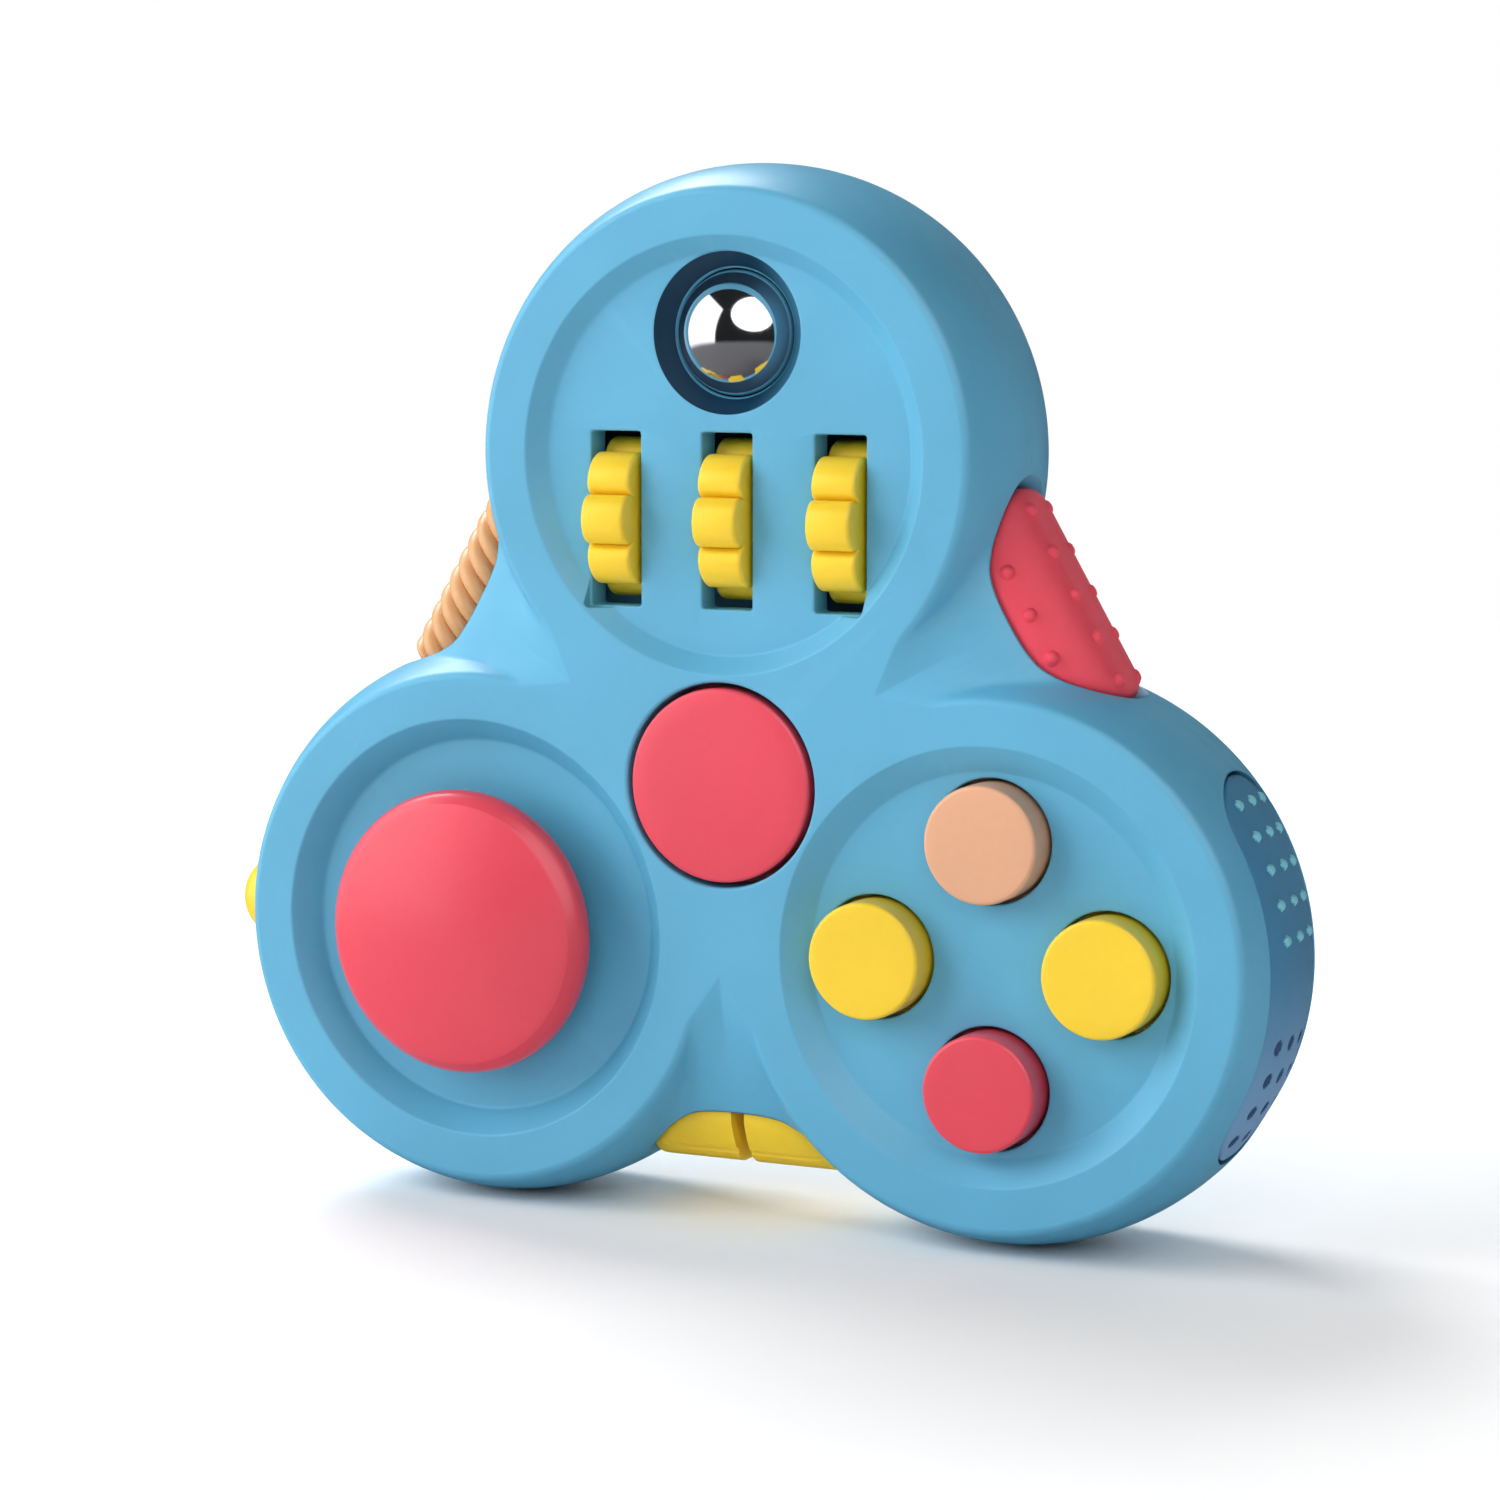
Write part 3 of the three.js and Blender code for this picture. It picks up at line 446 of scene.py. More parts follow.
# ------------------------------------------------------------------ materials
def plastic(name, colour, rough, coat=0.0, spec=0.5, grain=0.3, grain_scale=9000, vary=0.05,
            wear=0.10, bevel=0.0, sss=0.0, painted_light_ramp=None):
    """Moulded plastic or silicone.

    grain is the fine bump's strength, vary the spread of the colour, wear the lightening
    of rubbed edges and bevel the shading radius of edges in metres. painted_light_ramp is
    (axis, start, end, colour): another colour reached between two places in mm, which
    paints shade or reflected light onto the part.
    """
    material, tree = empty_material(name)
    coords = node(tree, "TexCoord").outputs["Object"]
    base = linear(colour)

    # broad variation between two close tints, then a small speckle
    broad = remap(tree, noise(tree, coords, scale=70, detail=2), 0.3, 0.7)
    tint = mix_colour(tree, broad, tinted(base, 1 - vary), tinted(base, 1 + vary))
    fine = noise(tree, coords, scale=1400, detail=4, rough=0.6)
    fine = remap(tree, fine, 0.3, 0.7, 1 - vary * 0.5, 1.0)
    speckle = node(tree, "CombineColor", {0: fine, 1: fine, 2: fine}).outputs[0]
    shade = mix_colour(tree, 1.0, tint, speckle, blend_type="MULTIPLY")

    # rubbed, slightly lighter edges
    if wear:
        pointed = node(tree, "NewGeometry").outputs["Pointiness"]
        edges = remap(tree, pointed, 0.515, 0.60, 0, wear)
        patches = noise(tree, coords, scale=420, detail=3, rough=0.65)
        rubbed = multiply(tree, edges, remap(tree, patches, 0.35, 0.65, 0.3, 1.0))
        shade = mix_colour(tree, rubbed, shade, tinted(base, 1.25, lift=0.06))

    # painted light: a colour ramp along one axis, standing in for shade or reflected light
    if painted_light_ramp:
        axis, start, end, other = painted_light_ramp
        place = node(tree, "SeparateXYZ", {0: coords}).outputs[axis]
        blend = remap(tree, place, start * MM, end * MM, interpolation_type="SMOOTHSTEP")
        shade = mix_colour(tree, blend, shade, linear(other))

    # polish varies with handling
    smudges = noise(tree, coords, scale=160, detail=4, rough=0.6)
    polish = remap(tree, smudges, 0.3, 0.7, rough - 0.05, rough + 0.06)

    # fine grain, with broad unevenness over it
    grain_inputs = {
        "Strength": grain,
        "Distance": 0.00002,
        "Height": noise(tree, coords, scale=grain_scale, detail=3, rough=0.55),
    }
    if bevel:
        rounded = node(tree, "Bevel", {"Radius": bevel}, samples=4)
        grain_inputs["Normal"] = rounded.outputs[0]
    surface = bump(tree, {
        "Strength": 0.25,
        "Distance": 0.00006,
        "Height": noise(tree, coords, scale=260, detail=2),
        "Normal": bump(tree, grain_inputs),
    })

    inputs = {
        "Base Color": shade,
        "Roughness": polish,
        "IOR": 1.46,
        "Specular IOR Level": spec,
        "Coat Weight": coat,
        "Coat Roughness": 0.25,
        "Normal": surface,
    }
    if sss:
        inputs["Subsurface Weight"] = sss
        inputs["Subsurface Radius"] = (1.0, 0.7, 0.5)
        inputs["Subsurface Scale"] = 0.0012
    principled_out(tree, inputs)
    return material


def metal(name, colour, rough, streak, scale):
    """Bare metal, with slight streaks of tint, polish and height."""
    material, tree = empty_material(name)
    coords = node(tree, "TexCoord").outputs["Object"]
    streaks = noise(tree, coords, scale, detail=4)
    base = linear(colour)
    relief = {"Strength": streak, "Distance": 0.00001, "Height": streaks}
    principled_out(tree, {
        "Base Color": mix_colour(tree, streaks, tinted(base, 0.94), base),
        "Metallic": 1.0,
        "Roughness": remap(tree, streaks, 0, 1, rough, rough + 0.05),
        "Normal": bump(tree, relief),
    })
    return material


BLUE = plastic("blue_abs", (90, 168, 203), rough=0.42, coat=0.08, bevel=0.00016)
RED = plastic("red_abs", (224, 68, 86), rough=0.345, coat=0.35, wear=0.03)
YELLOW = plastic("yellow_abs", (243, 204, 44), rough=0.36, coat=0.15)
PEACH = plastic("peach_abs", (222, 166, 130), rough=0.42, coat=0.08)
PAD_RED = plastic("red_silicone", (234, 76, 94), rough=0.6, spec=0.25, grain=0.6,
                  grain_scale=6000, vary=0.06, wear=0.03, sss=0.1)
# painted reflection: the strip's colour ramps lighter towards the bottom (-Z), standing in for the
# pale floor reflected there
STRIP_BLUE = plastic("blue_silicone", (62, 130, 170), rough=0.5, spec=0.35, grain=0.6,
                     grain_scale=6000, wear=0.03,
                     painted_light_ramp=("Z", RZ + 2.0, RZ - 11.0, (116, 160, 202)))
CLEAR_SIL = plastic("clear_silicone", (205, 212, 214), rough=0.6, grain=0.5, sss=0.2)
DARK = plastic("dark_nylon", (44, 56, 66), rough=0.55, grain=0.5)
# painted shade: the ball's countersink wall is tinted dark navy, ramping lighter towards +X, in
# place of the shade inside the deep hole
COUNTERSINK_PAINTED_SHADE = plastic("countersink_painted_shade", (12, 54, 80), rough=0.40, spec=0.3, grain=0.2,
                      wear=0.0, painted_light_ramp=("X", 1.2, 5.6, (52, 108, 138)))
ROPE = plastic("peach_rope", (210, 158, 108), rough=0.40, coat=0.1, wear=0.0)
# painted highlight on the grip strip's nubs and painted shade in its pits
NUB_PAINTED_HIGHLIGHT = plastic("blue_silicone_nubs_painted_highlight", (120, 198, 212), rough=0.45, grain=0.4, wear=0.0)
PIT_PAINTED_SHADE = plastic("blue_silicone_pits_painted_shade", (40, 74, 122), rough=0.55, grain=0.4, wear=0.0)
BALL = metal("ball_chrome", (226, 226, 230), rough=0.06, streak=0.02, scale=600)
STEEL = metal("drawn_steel", (178, 180, 184), rough=0.26, streak=0.25, scale=2400)

# ------------------------------------------------------------------ the frame's CAD pieces
# pieces that keep their CAD shape and only take a material
KEPT = (
    (DARK, ("thumb_stem", "gimbal_ring", "thumb_housing", "ball_seat", "axle_clamp")),
    (STEEL, ("cog_axle", "roller_pin", "key_left_pin", "key_right_pin")),
)
for material, names in KEPT:
    for name in names:
        materials = frame["nodes"][name].data.materials
        materials.clear()
        materials.append(material)

BODIES = frame["record"]["behaviour"]["bodies"]
BODY_OF_NODE = {piece: body for body, pieces in BODIES.items() for piece in pieces}


def stand_for(ob, piece):
    """ob takes the place of one CAD node, on its body."""
    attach(ob, BODY_OF_NODE[piece])
    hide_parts(piece)
    return ob


# ------------------------------------------------------------------ casing: cuts and wall
def web_opening(web, shift=0.0):
    """Oval prism through a web."""
    points = oval(OPEN_A, OPEN_D, 96)
    x, y = points[:, 0] + shift, points[:, 1] + Y_SPLIT
    return on_web(web, lofted([np.stack([x, y, np.full(96, out)], axis=1) for out in (20.9, 34)]))


def barrel(inset, start, end, stations, segments):
    """The right lobe's barrel, drawn in by the inset."""
    profile = [(lobe_radius(d) - inset, d) for d in np.linspace(start, end, stations)]
    return face_turned(RX, RZ, [(0, start)] + profile + [(0, end)], segments)


def strip_prism(grow):
    """The grip strip's round-ended band, grown all round and drawn out along X."""
    length, half = R_MID * rad(STRIP_ANG) + grow, STRIP_HALF + grow
    straight = length - half
    points = []
    for s in (1, -1):
        for t in np.linspace(-90, 90, 28):
            points.append((s * (straight + half * cosd(t)), s * half * sind(t)))
        for i in range(1, 12):
            points.append((s * straight * (1 - i / 6), s * half))
    return lofted([
        np.array([(RX + x, y_at(SPLIT + across), RZ + R_MID * math.sin(along / R_MID))
                  for along, across in points])
        for x in (9, 24)
    ])


def strip_pocket():
    """Shallow pocket for the grip strip in the right lobe's side."""
    pocket = blank("pocket", strip_prism(0.14))
    boolean(pocket, cutter(barrel(1.3, 1.5, 13.5, stations=15, segments=240)))
    return pocket


def side_cutters():
    """Cuts that cross the parting plane, fresh for each shell."""
    ovals = cutter(web_opening("right", PAD_SHIFT), web_opening("left"), web_opening("bottom"))
    room_half = ROLL_HALF + 0.35
    roller_room = web_turned("left", rod(ROLL_R + 0.4, -room_half, room_half), 96, ROLL_O)
    button_bore = towards_minus_x(turned(rod(3.7, 12.6, 30), 96))
    return [ovals, cutter(roller_room, button_bore), strip_pocket()]


def strip_wall():
    """Thicker side wall behind the grip strip."""
    start, end = 2.6, 12.4
    wall = blank("wall", box((RX + 11.5, y_at(start), RZ - 15), (RX + 22, y_at(end), RZ + 15)))
    boolean(wall, cutter(barrel(0.9, start, end, stations=7, segments=120)), "INTERSECT")
    boolean(wall, cutter(face_turned(RX, RZ, rod(17.2, 0, THICK), 96)))
    return wall


def disc_recess(lobe):
    """Round recess with a rounded rim, a sloped wall and a softly filleted floor."""
    depth, floor_r = DISC[lobe]
    slope = math.degrees(math.atan2(depth, DISC_R - floor_r))
    rim, fillet = 0.24, 0.35
    rim_r = DISC_R + rim * 0.55 + 0.10
    profile = [(0, -1), (DISC_R + 0.30, -1), (DISC_R + 0.30, 0.0)]
    for k in np.linspace(0, 1, 7):
        a = 90 - k * slope
        profile.append((rim_r - rim * cosd(a), rim - rim * sind(a)))
    for k in np.linspace(0, 1, 7):
        a = slope * (1 - k)
        r = floor_r + 0.05 - fillet * sind(slope) * 0.5 + fillet * sind(a) - fillet * 0.2
        profile.append((r, depth - fillet * (1 - cosd(a))))
    profile.append((0, depth))
    return face_turned(*LOBE_AT[lobe], profile, 256)


def hole_profile(radius, top, mouth):
    """Hole from the depth top into the cavity, with a rounded mouth."""
    profile = [(0, top - 1), (radius + mouth, top - 1), (radius + mouth, top)]
    profile += [(radius + mouth - mouth * sind(a), top + mouth - mouth * cosd(a))
                for a in (15, 30, 45, 60, 75, 90)]
    return profile + [(radius, CEIL + 0.5), (0, CEIL + 0.5)]


def cog_slot(x):
    """Rectangular slot for one cog, with small round corners and a rounded mouth."""
    mouth, corner = 0.14, 0.22
    top = DISC["top"][0]
    stations = [(top - 1, mouth)]       # depth, growth of the outline
    stations += [(top + mouth - mouth * cosd(a), mouth - mouth * sind(a))
                 for a in (0, 22, 45, 68, 90)]
    stations.append((CEIL + 0.2, 0))
    rings = []
    for depth, grow in stations:
        half_w, half_h = SLOT_W / 2 + grow - corner, SLOT_H / 2 + grow - corner
        ring = []
        for side_x, side_z, start in ((1, 1, 0), (-1, 1, 90), (-1, -1, 180), (1, -1, 270)):
            for a in np.linspace(start, start + 90, 5):
                ring.append((x + side_x * half_w + corner * cosd(a), y_at(depth),
                             WHEEL_Z + side_z * half_h + corner * sind(a)))
        rings.append(np.array(ring))
    return lofted(rings)


def ball_hole():
    """The ball's countersunk hole, narrowest just under the ball's middle collar."""
    mouth, sink_r, top = 0.13, 5.6, DISC["top"][0]
    profile = [(0, top - 1), (sink_r + mouth, top - 1), (sink_r + mouth, top)]
    profile += [(sink_r + mouth - mouth * sind(a), top + mouth - mouth * cosd(a))
                for a in (18, 36, 54, 68)]
    # radius, depth
    profile += [
        (5.5, 1.5), (4.72, 2.44), (4.62, 2.56), (4.53, 2.66), (4.48, 2.76), (4.48, 2.9),
        (4.75, 3.3), (4.75, CEIL + 0.5), (0, CEIL + 0.5),
    ]
    return face_turned(0, BALL_Z, profile, 160)


# ------------------------------------------------------------------ casing: shells
def hollow_shell(name, depths, post_start, post_end):
    """Half of the casing: hollow, with the strip's wall and a post for each screw."""
    ob = blank(name, lofted(outline_rings(depths, ANGLES)))
    cavity = outline_rings([CEIL, 5.0, SPLIT, 10.0, BACK], even_angles(180, 5.0), WALL)
    boolean(ob, blank("cavity", lofted(cavity)))
    boolean(ob, strip_wall(), "UNION")
    posts = [face_turned(x, z, rod(2.3, post_start, post_end), 32) for x, z in SCREW_AT]
    boolean(ob, cutter(*posts), "UNION")
    return ob


def finish_shell(ob):
    for tool in side_cutters():
        boolean(ob, tool)
    tidy(ob)
    finish(ob, BLUE, angle=30)


def paint_countersink_shade(ob):
    """Gives the wall of the ball's hole a darker tint than the face round it: painted shade,
    darker to the left and lighter towards +X.
    """
    ob.data.materials.append(COUNTERSINK_PAINTED_SHADE)
    for face in ob.data.polygons:
        centre = face.center
        r = math.hypot(centre.x / MM, centre.z / MM - BALL_Z)
        depth = centre.y / MM - y_at(0)
        if 4.66 < r < 5.72 and DISC["top"][0] + 0.02 < depth < CEIL + 0.6:
            face.material_index = 1


def front_casing():
    ob = hollow_shell("front_casing", SHELL_DEPTHS + [SPLIT - 0.01], CEIL - 0.4, SPLIT - 0.05)
    boolean(ob, cutter(*[disc_recess(lobe) for lobe in DISC]))
    boolean(ob, cutter(face_turned(0, 0, hole_profile(CENTRE_HOLE, 0, mouth=0.24), 160)))
    button_hole = hole_profile(BTN_R + 0.28, DISC["right"][0], mouth=0.12)
    thumb_hole = hole_profile(3.9, DISC["left"][0], mouth=0.15)
    boolean(ob, cutter(
        *[face_turned(x, z, button_hole, 96) for x, z in BUTTON_AT.values()],
        *[cog_slot(x) for x in WHEEL_X],
        ball_hole(),
        face_turned(LX, LZ, thumb_hole, 96),
    ))
    finish_shell(ob)
    paint_countersink_shade(ob)
    return ob


def rear_casing():
    depths = [SPLIT + 0.01] + [THICK - depth for depth in SHELL_DEPTHS[::-1]]
    ob = hollow_shell("rear_casing", depths, SPLIT + 0.05, BACK + 0.4)
    # stepped screw hole with a rounded mouth: radius, depth
    hole = [
        (0, 7), (1.12, 7), (1.12, 12.6), (2.05, 12.6), (2.05, 14.78), (2.09, 14.88),
        (2.17, 14.96), (2.27, 15.0), (2.27, 16), (0, 16),
    ]
    boolean(ob, cutter(*[face_turned(x, z, hole, 72) for x, z in SCREW_AT]))
    finish_shell(ob)
    return ob


stand_for(front_casing(), "front_shell")
stand_for(rear_casing(), "rear_shell")


# ------------------------------------------------------------------ screws
def screw(number, x, z):
    """Threaded screw whose domed head, towards the back, has a cross recess."""
    core_r, thread_r, pitch = 0.78, 0.94, 0.4
    profile = [(0, 5.2), (0.3, 5.2), (0.62, 5.9)]
    depth = 6.2
    while depth < 12.3:
        profile += [(core_r, depth), (thread_r, depth + 0.18), (core_r, depth + 0.36)]
        depth += pitch
    # neck and head: radius, depth
    profile += [
        (0.9, 12.5), (0.93, 12.65), (1.74, 12.65), (1.8, 12.72), (1.8, 13.05), (1.72, 13.32),
        (1.5, 13.58), (1.1, 13.78), (0.6, 13.88), (0, 13.9),
    ]
    ob = blank(f"screw_{number}", face_turned(x, z, profile, 48))
    turn = rad(23 * number)
    for angle in (turn, turn + math.pi / 2):
        verts, faces = box((-0.95, y_at(13.05), -0.19), (0.95, y_at(14.3), 0.19))
        bar_x, bar_y, bar_z = verts.T
        c, s = math.cos(angle), math.sin(angle)
        placed = np.stack([bar_x * c - bar_z * s + x, bar_y, bar_x * s + bar_z * c + z], axis=1)
        boolean(ob, cutter((placed, faces)))
    finish(ob, STEEL)
    return ob


for i, (x, z) in enumerate(SCREW_AT, 1):
    stand_for(screw(i, x, z), f"rear_screw_{i}")


# ------------------------------------------------------------------ buttons
def cap_profile(radius, front, bevel, crown, flange_r, flange_back, stem_r, stem_end):
    """Round cap: crowned face, rounded edge, straight skirt, flange under the face, stem."""
    profile = [(r, front - crown * (1 - (r / radius) ** 2))
               for r in np.linspace(0, radius - bevel, 7)]
    profile += [(radius - bevel + bevel * sind(a), front + bevel - bevel * cosd(a))
                for a in np.linspace(15, 90, 6)]
    flange_front = CEIL + 0.1
    return profile + [
        (radius, flange_front), (flange_r, flange_front), (flange_r, flange_back),
        (stem_r, flange_back), (stem_r, stem_end), (0, stem_end),
    ]


profile = cap_profile(CENTRE_R, front=-0.12, bevel=0.28, crown=0.12,
                      flange_r=8.3, flange_back=4.4, stem_r=2.2, stem_end=6.2)
centre_cap = make("centre_button_cap", face_turned(0, 0, profile, 160), RED)
stand_for(centre_cap, "centre_button")

profile = cap_profile(BTN_R, front=BTN_FRONT, bevel=0.30, crown=0.0,
                      flange_r=4.95, flange_back=4.3, stem_r=1.6, stem_end=5.5)
for (name, (x, z)), material in zip(BUTTON_AT.items(), (PEACH, YELLOW, YELLOW, RED)):
    stand_for(make(name + "_cap", face_turned(x, z, profile, 112), material), name)


# ------------------------------------------------------------------ thumb cap
def thumb_cap():
    dome_r, rim, apex = 9.42, -3.02, -4.5
    rise = rim - apex
    sphere_r = (dome_r * dome_r + rise * rise) / (2 * rise)
    profile = [(r, apex + sphere_r - math.sqrt(sphere_r * sphere_r - r * r))
               for r in np.linspace(0, dome_r, 24)]
    # a steeper shoulder outside the dome, then the back of the cap: radius, depth
    profile += [
        (9.47, -2.985), (9.52, -2.93), (9.70, -2.77), (9.90, -2.58), (10.06, -2.38),
        (10.18, -2.16), (10.26, -1.9), (10.3, -1.6), (10.3, -1.4), (10.27, -1.22),
        (10.18, -1.07), (10.02, -0.97), (9.8, -0.95), (9.0, -0.95),
        (8.6, -1.6), (5.2, -2.3), (3.6, -2.3), (3.6, 0.2), (2.3, 0.2), (2.3, -2.3), (0, -2.3),
    ]
    return make("thumb_dome", face_turned(LX, LZ, profile, 192), RED)


stand_for(thumb_cap(), "thumb_cap")


# ------------------------------------------------------------------ ball
def ball():
    profile = [(0, BALL_D - BALL_R)]
    profile += [(BALL_R * math.sin(t), BALL_D - BALL_R * math.cos(t))
                for t in np.linspace(0, np.pi, 65)[1:-1]]
    profile.append((0, BALL_D + BALL_R))
    return make("bearing_ball", face_turned(0, BALL_Z, profile, 128), BALL, weighted=False)


stand_for(ball(), "steel_ball")


# ------------------------------------------------------------------ cogs
def cog(name, x):
    """Wheel with eight rounded teeth and softened rims, bored along X."""
    teeth, per_tooth = 8, 28
    t = 2 * np.pi * np.arange(per_tooth * teeth) / (per_tooth * teeth)
    phase = (t * teeth / np.pi + 1) % 2 - 1     # -1..1 across one tooth, 0 at its tip
    swell = np.sqrt(np.maximum(1 - np.abs(phase) ** 2.2, 0))
    radius = WHEEL_ROOT + (WHEEL_TIP - WHEEL_ROOT) * swell
    half, soft = WHEEL_W / 2, 0.28
    stations = [(-half, 1.2), (-half, soft)]    # place along X, inset of the outline
    stations += [(-half + soft - soft * cosd(a), soft - soft * sind(a)) for a in (22, 45, 68, 90)]
    stations += [(-place, inset) for place, inset in stations[::-1]]
    rings = []
    for place, inset in stations:
        r = np.maximum(radius - inset, 1.3)
        rings.append(np.stack([np.full_like(t, place + x), y_at(WHEEL_D) - r * np.cos(t),
                               WHEEL_Z + r * np.sin(t)], axis=1))
    ob = blank(name, lofted(rings))
    verts, faces = turned(rod(1.08, -3, 3), 48)
    bore_x, bore_y, bore_z = verts.T
    bore = np.stack([bore_y + x, -bore_x + y_at(WHEEL_D), bore_z + WHEEL_Z], axis=1)
    boolean(ob, cutter((bore, faces)))
    finish(ob, YELLOW, angle=40)
    return ob


for name, x in zip(("cog_left", "cog_middle", "cog_right"), WHEEL_X):
    stand_for(cog(name + "_wheel", x), name)


# ------------------------------------------------------------------ rope-twist roller
def roller():
    """Roller along the left web, with four twisted strands and rounded ends."""
    segments, strands, lead, end_length = 128, 4, 6.2, 0.7
    turn = 2 * np.pi * np.arange(segments) / segments
    rings = []
    for x in np.linspace(-ROLL_HALF, ROLL_HALF, 150):
        end = max(0.0, (abs(x) - ROLL_HALF + end_length) / end_length)
        phase = (strands * (turn + 2 * np.pi * x / lead) / np.pi + 1) % 2 - 1
        groove = 0.80 * (1 - np.sqrt(np.maximum(1 - np.abs(phase) ** 2, 0)))
        r = ROLL_R - 0.55 * end ** 2 - groove
        rings.append(np.stack([np.full(segments, x), r * np.cos(turn) + Y_SPLIT,
                               r * np.sin(turn) + ROLL_O], axis=1))
    ob = blank("rope_twist", on_web("left", lofted(rings)))
    boolean(ob, cutter(web_turned("left", rod(ROLL_PIN + BORE_GAP, -9, 9), 48, ROLL_O)))
    finish(ob, ROPE, angle=60, weighted=False)
    return ob


stand_for(roller(), "rope_roller")


# ------------------------------------------------------------------ grip pad and keys
def crown(across, top):
    """Distance out of a crowned top, at a distance across from its middle line."""
    return top - PILLOW * np.abs(across) ** 4


def crown_slope(across):
    return -4 * PILLOW * across ** 3


def crowned_oval(top, bottom, shift=0.0):
    """Oval block that fills a web opening, in the web's own axes."""
    half_length, count, rounding = OPEN_A - OPEN_GAP, 200, 0.12
    outline = oval(half_length, OPEN_D - OPEN_GAP, count)

    def ring(scale, flat=None, inset=0.0):
        x, y = outline[:, 0] * scale, outline[:, 1] * scale
        if flat is None:
            # the two ends of the oval are rounded over
            t = np.clip((scale - 0.86) / 0.14, 0, 1)
            end_drop = 1.15 * (1 - np.sqrt(np.maximum(1 - t * t, 0)))
            out = crown(y, top) - end_drop * (outline[:, 0] / half_length) ** 2 - inset
        else:
            out = np.full(count, flat)
        return np.stack([x + shift, y + Y_SPLIT, out], axis=1)

    rings = [ring(0.996, flat=bottom), ring(1.0, flat=bottom + 0.2)]
    rings += [ring(1.0, inset=0.5), ring(1.0, inset=rounding)]
    edge_scales = (0.998, 0.994, 0.988, 0.98, 0.97, 0.958, 0.944, 0.928, 0.91, 0.89, 0.87,
                   0.845, 0.82)
    for scale in (*edge_scales, *np.linspace(0.79, 0.03, 24)):
        rings.append(ring(scale, inset=rounding * max(0.0, (scale - 0.985) / 0.015) ** 2))
    return lofted(rings)


# rows of bumps: distance across the pad, number, height scale
PAD_ROWS = [(-4.3, 3, 1.0), (-1.7, 5, 0.95), (1.7, 5, 0.5), (4.3, 3, 0.9)]
PAD_PITCH = 3.3
# one bump: radius, height over the pad
PAD_BUMP = [
    (0, -0.4), (0.62, -0.4), (0.62, -0.12), (0.54, -0.03), (0.48, 0.05), (0.44, 0.15),
    (0.39, 0.25), (0.32, 0.34), (0.22, 0.40), (0.11, 0.43), (0, 0.44),
]


def pad_bump(along, across, tall):
    """One moulded bump, leaning with the pad's surface."""
    verts, faces = turned([(r, h * tall if h > 0 else h) for r, h in PAD_BUMP], 32)
    x, up, y = verts.T
    lean = math.atan(crown_slope(across))
    c, s = math.cos(lean), math.sin(lean)
    placed = np.stack([x + along, y * c - up * s + across + Y_SPLIT,
                       y * s + up * c + crown(across, PAD_TOP)], axis=1)
    return on_web("right", (placed, faces))


def grip_pad():
    """Crowned pad with rows of bumps, a wider tab and a foot inside the casing."""
    ob = blank("bump_pad", on_web("right", crowned_oval(PAD_TOP, 22.1, PAD_SHIFT)))
    tab = box((-9.0, y_at(5.8), 24.4), (9.0, y_at(9.2), 25.4))
    foot = box((-6.0 + PAD_SHIFT, y_at(4.8), 20.2), (6.0 + PAD_SHIFT, y_at(10.2), 22.4))
    for block in (tab, foot):
        boolean(ob, cutter(on_web("right", block)), "UNION")
    bumps = [pad_bump((i - (count - 1) / 2) * PAD_PITCH + 0.1, across, tall)
             for across, count, tall in PAD_ROWS for i in range(count)]
    boolean(ob, cutter(*bumps), "UNION")
    finish(ob, PAD_RED, angle=40)
    return ob


def key(name, side):
    """Half of a crowned oval, towards +along (side 1) or -along (side -1) of its web."""
    ob = blank(name, on_web("bottom", crowned_oval(KEY_TOP, 21.6)))
    inner, soft = 0.5 * side, 0.45
    # kept half, with a rounded top at its inner end: along, out
    outline = [(inner, 18), (12 * side, 18), (12 * side, 34), (inner + 1.6 * side, 34)]
    outline.append((inner + soft * side, KEY_TOP + 0.02))
    for a in (70, 50, 30, 10):
        outline.append((inner + soft * side - soft * side * cosd(a),
                        KEY_TOP - soft + soft * sind(a)))
    kept = lofted([np.array([(x, y_at(d), out) for x, out in outline]) for d in (0, THICK)])
    boolean(ob, cutter(on_web("bottom", kept)), "INTERSECT")
    # a narrow groove near each long edge
    grooves = []
    for edge in (-1, 1):
        middle = SPLIT + edge * 3.4
        grooves.append(on_web("bottom", box((-12, y_at(middle - 0.14), KEY_TOP - 1.3),
                                            (12, y_at(middle + 0.14), KEY_TOP + 1))))
    boolean(ob, cutter(*grooves))
    bore = face_turned(side * KEY_PIN_A, KEY_PIN_O, rod(KEY_PIN_R + BORE_GAP, 0, THICK), 40)
    boolean(ob, cutter(on_web("bottom", bore)))
    finish(ob, YELLOW, angle=30)
    return ob


stand_for(grip_pad(), "grip_pad")
stand_for(key("key_left_cap", 1), "key_left")
stand_for(key("key_right_cap", -1), "key_right")


# ------------------------------------------------------------------ side button
def side_button():
    # radius, distance from the lobe's centre towards -X
    profile = [(0, 23.45)]
    profile += [(3.25 * sind(a), 20.35 + 3.1 * cosd(a)) for a in np.linspace(6, 84, 14)]
    profile += [
        (3.33, 20.1), (3.38, 19.7), (3.4, 19.2), (3.4, 17.3), (3.98, 17.3), (3.98, 16.6),
        (1.6, 16.6), (1.6, 15.4), (0, 15.4),
    ]
    return make("side_button_cap", towards_minus_x(turned(profile, 112)), YELLOW)


stand_for(side_button(), "side_button")

# ------------------------------------------------------------------ grip strip
DOT_ROWS = (-2.4, 0.0, 2.4)                     # across the strip
NUB_ANGLES = (35.2, 28.4, 21.5, 14.4, 7.4)      # round the right lobe, up from +X
PIT_ANGLES = (-13.8, -20.8, -28.0, -35.0)
NUB_R, NUB_HEIGHT = 0.40, 0.32
PIT_R, PIT_DEPTH = 0.66, 0.42


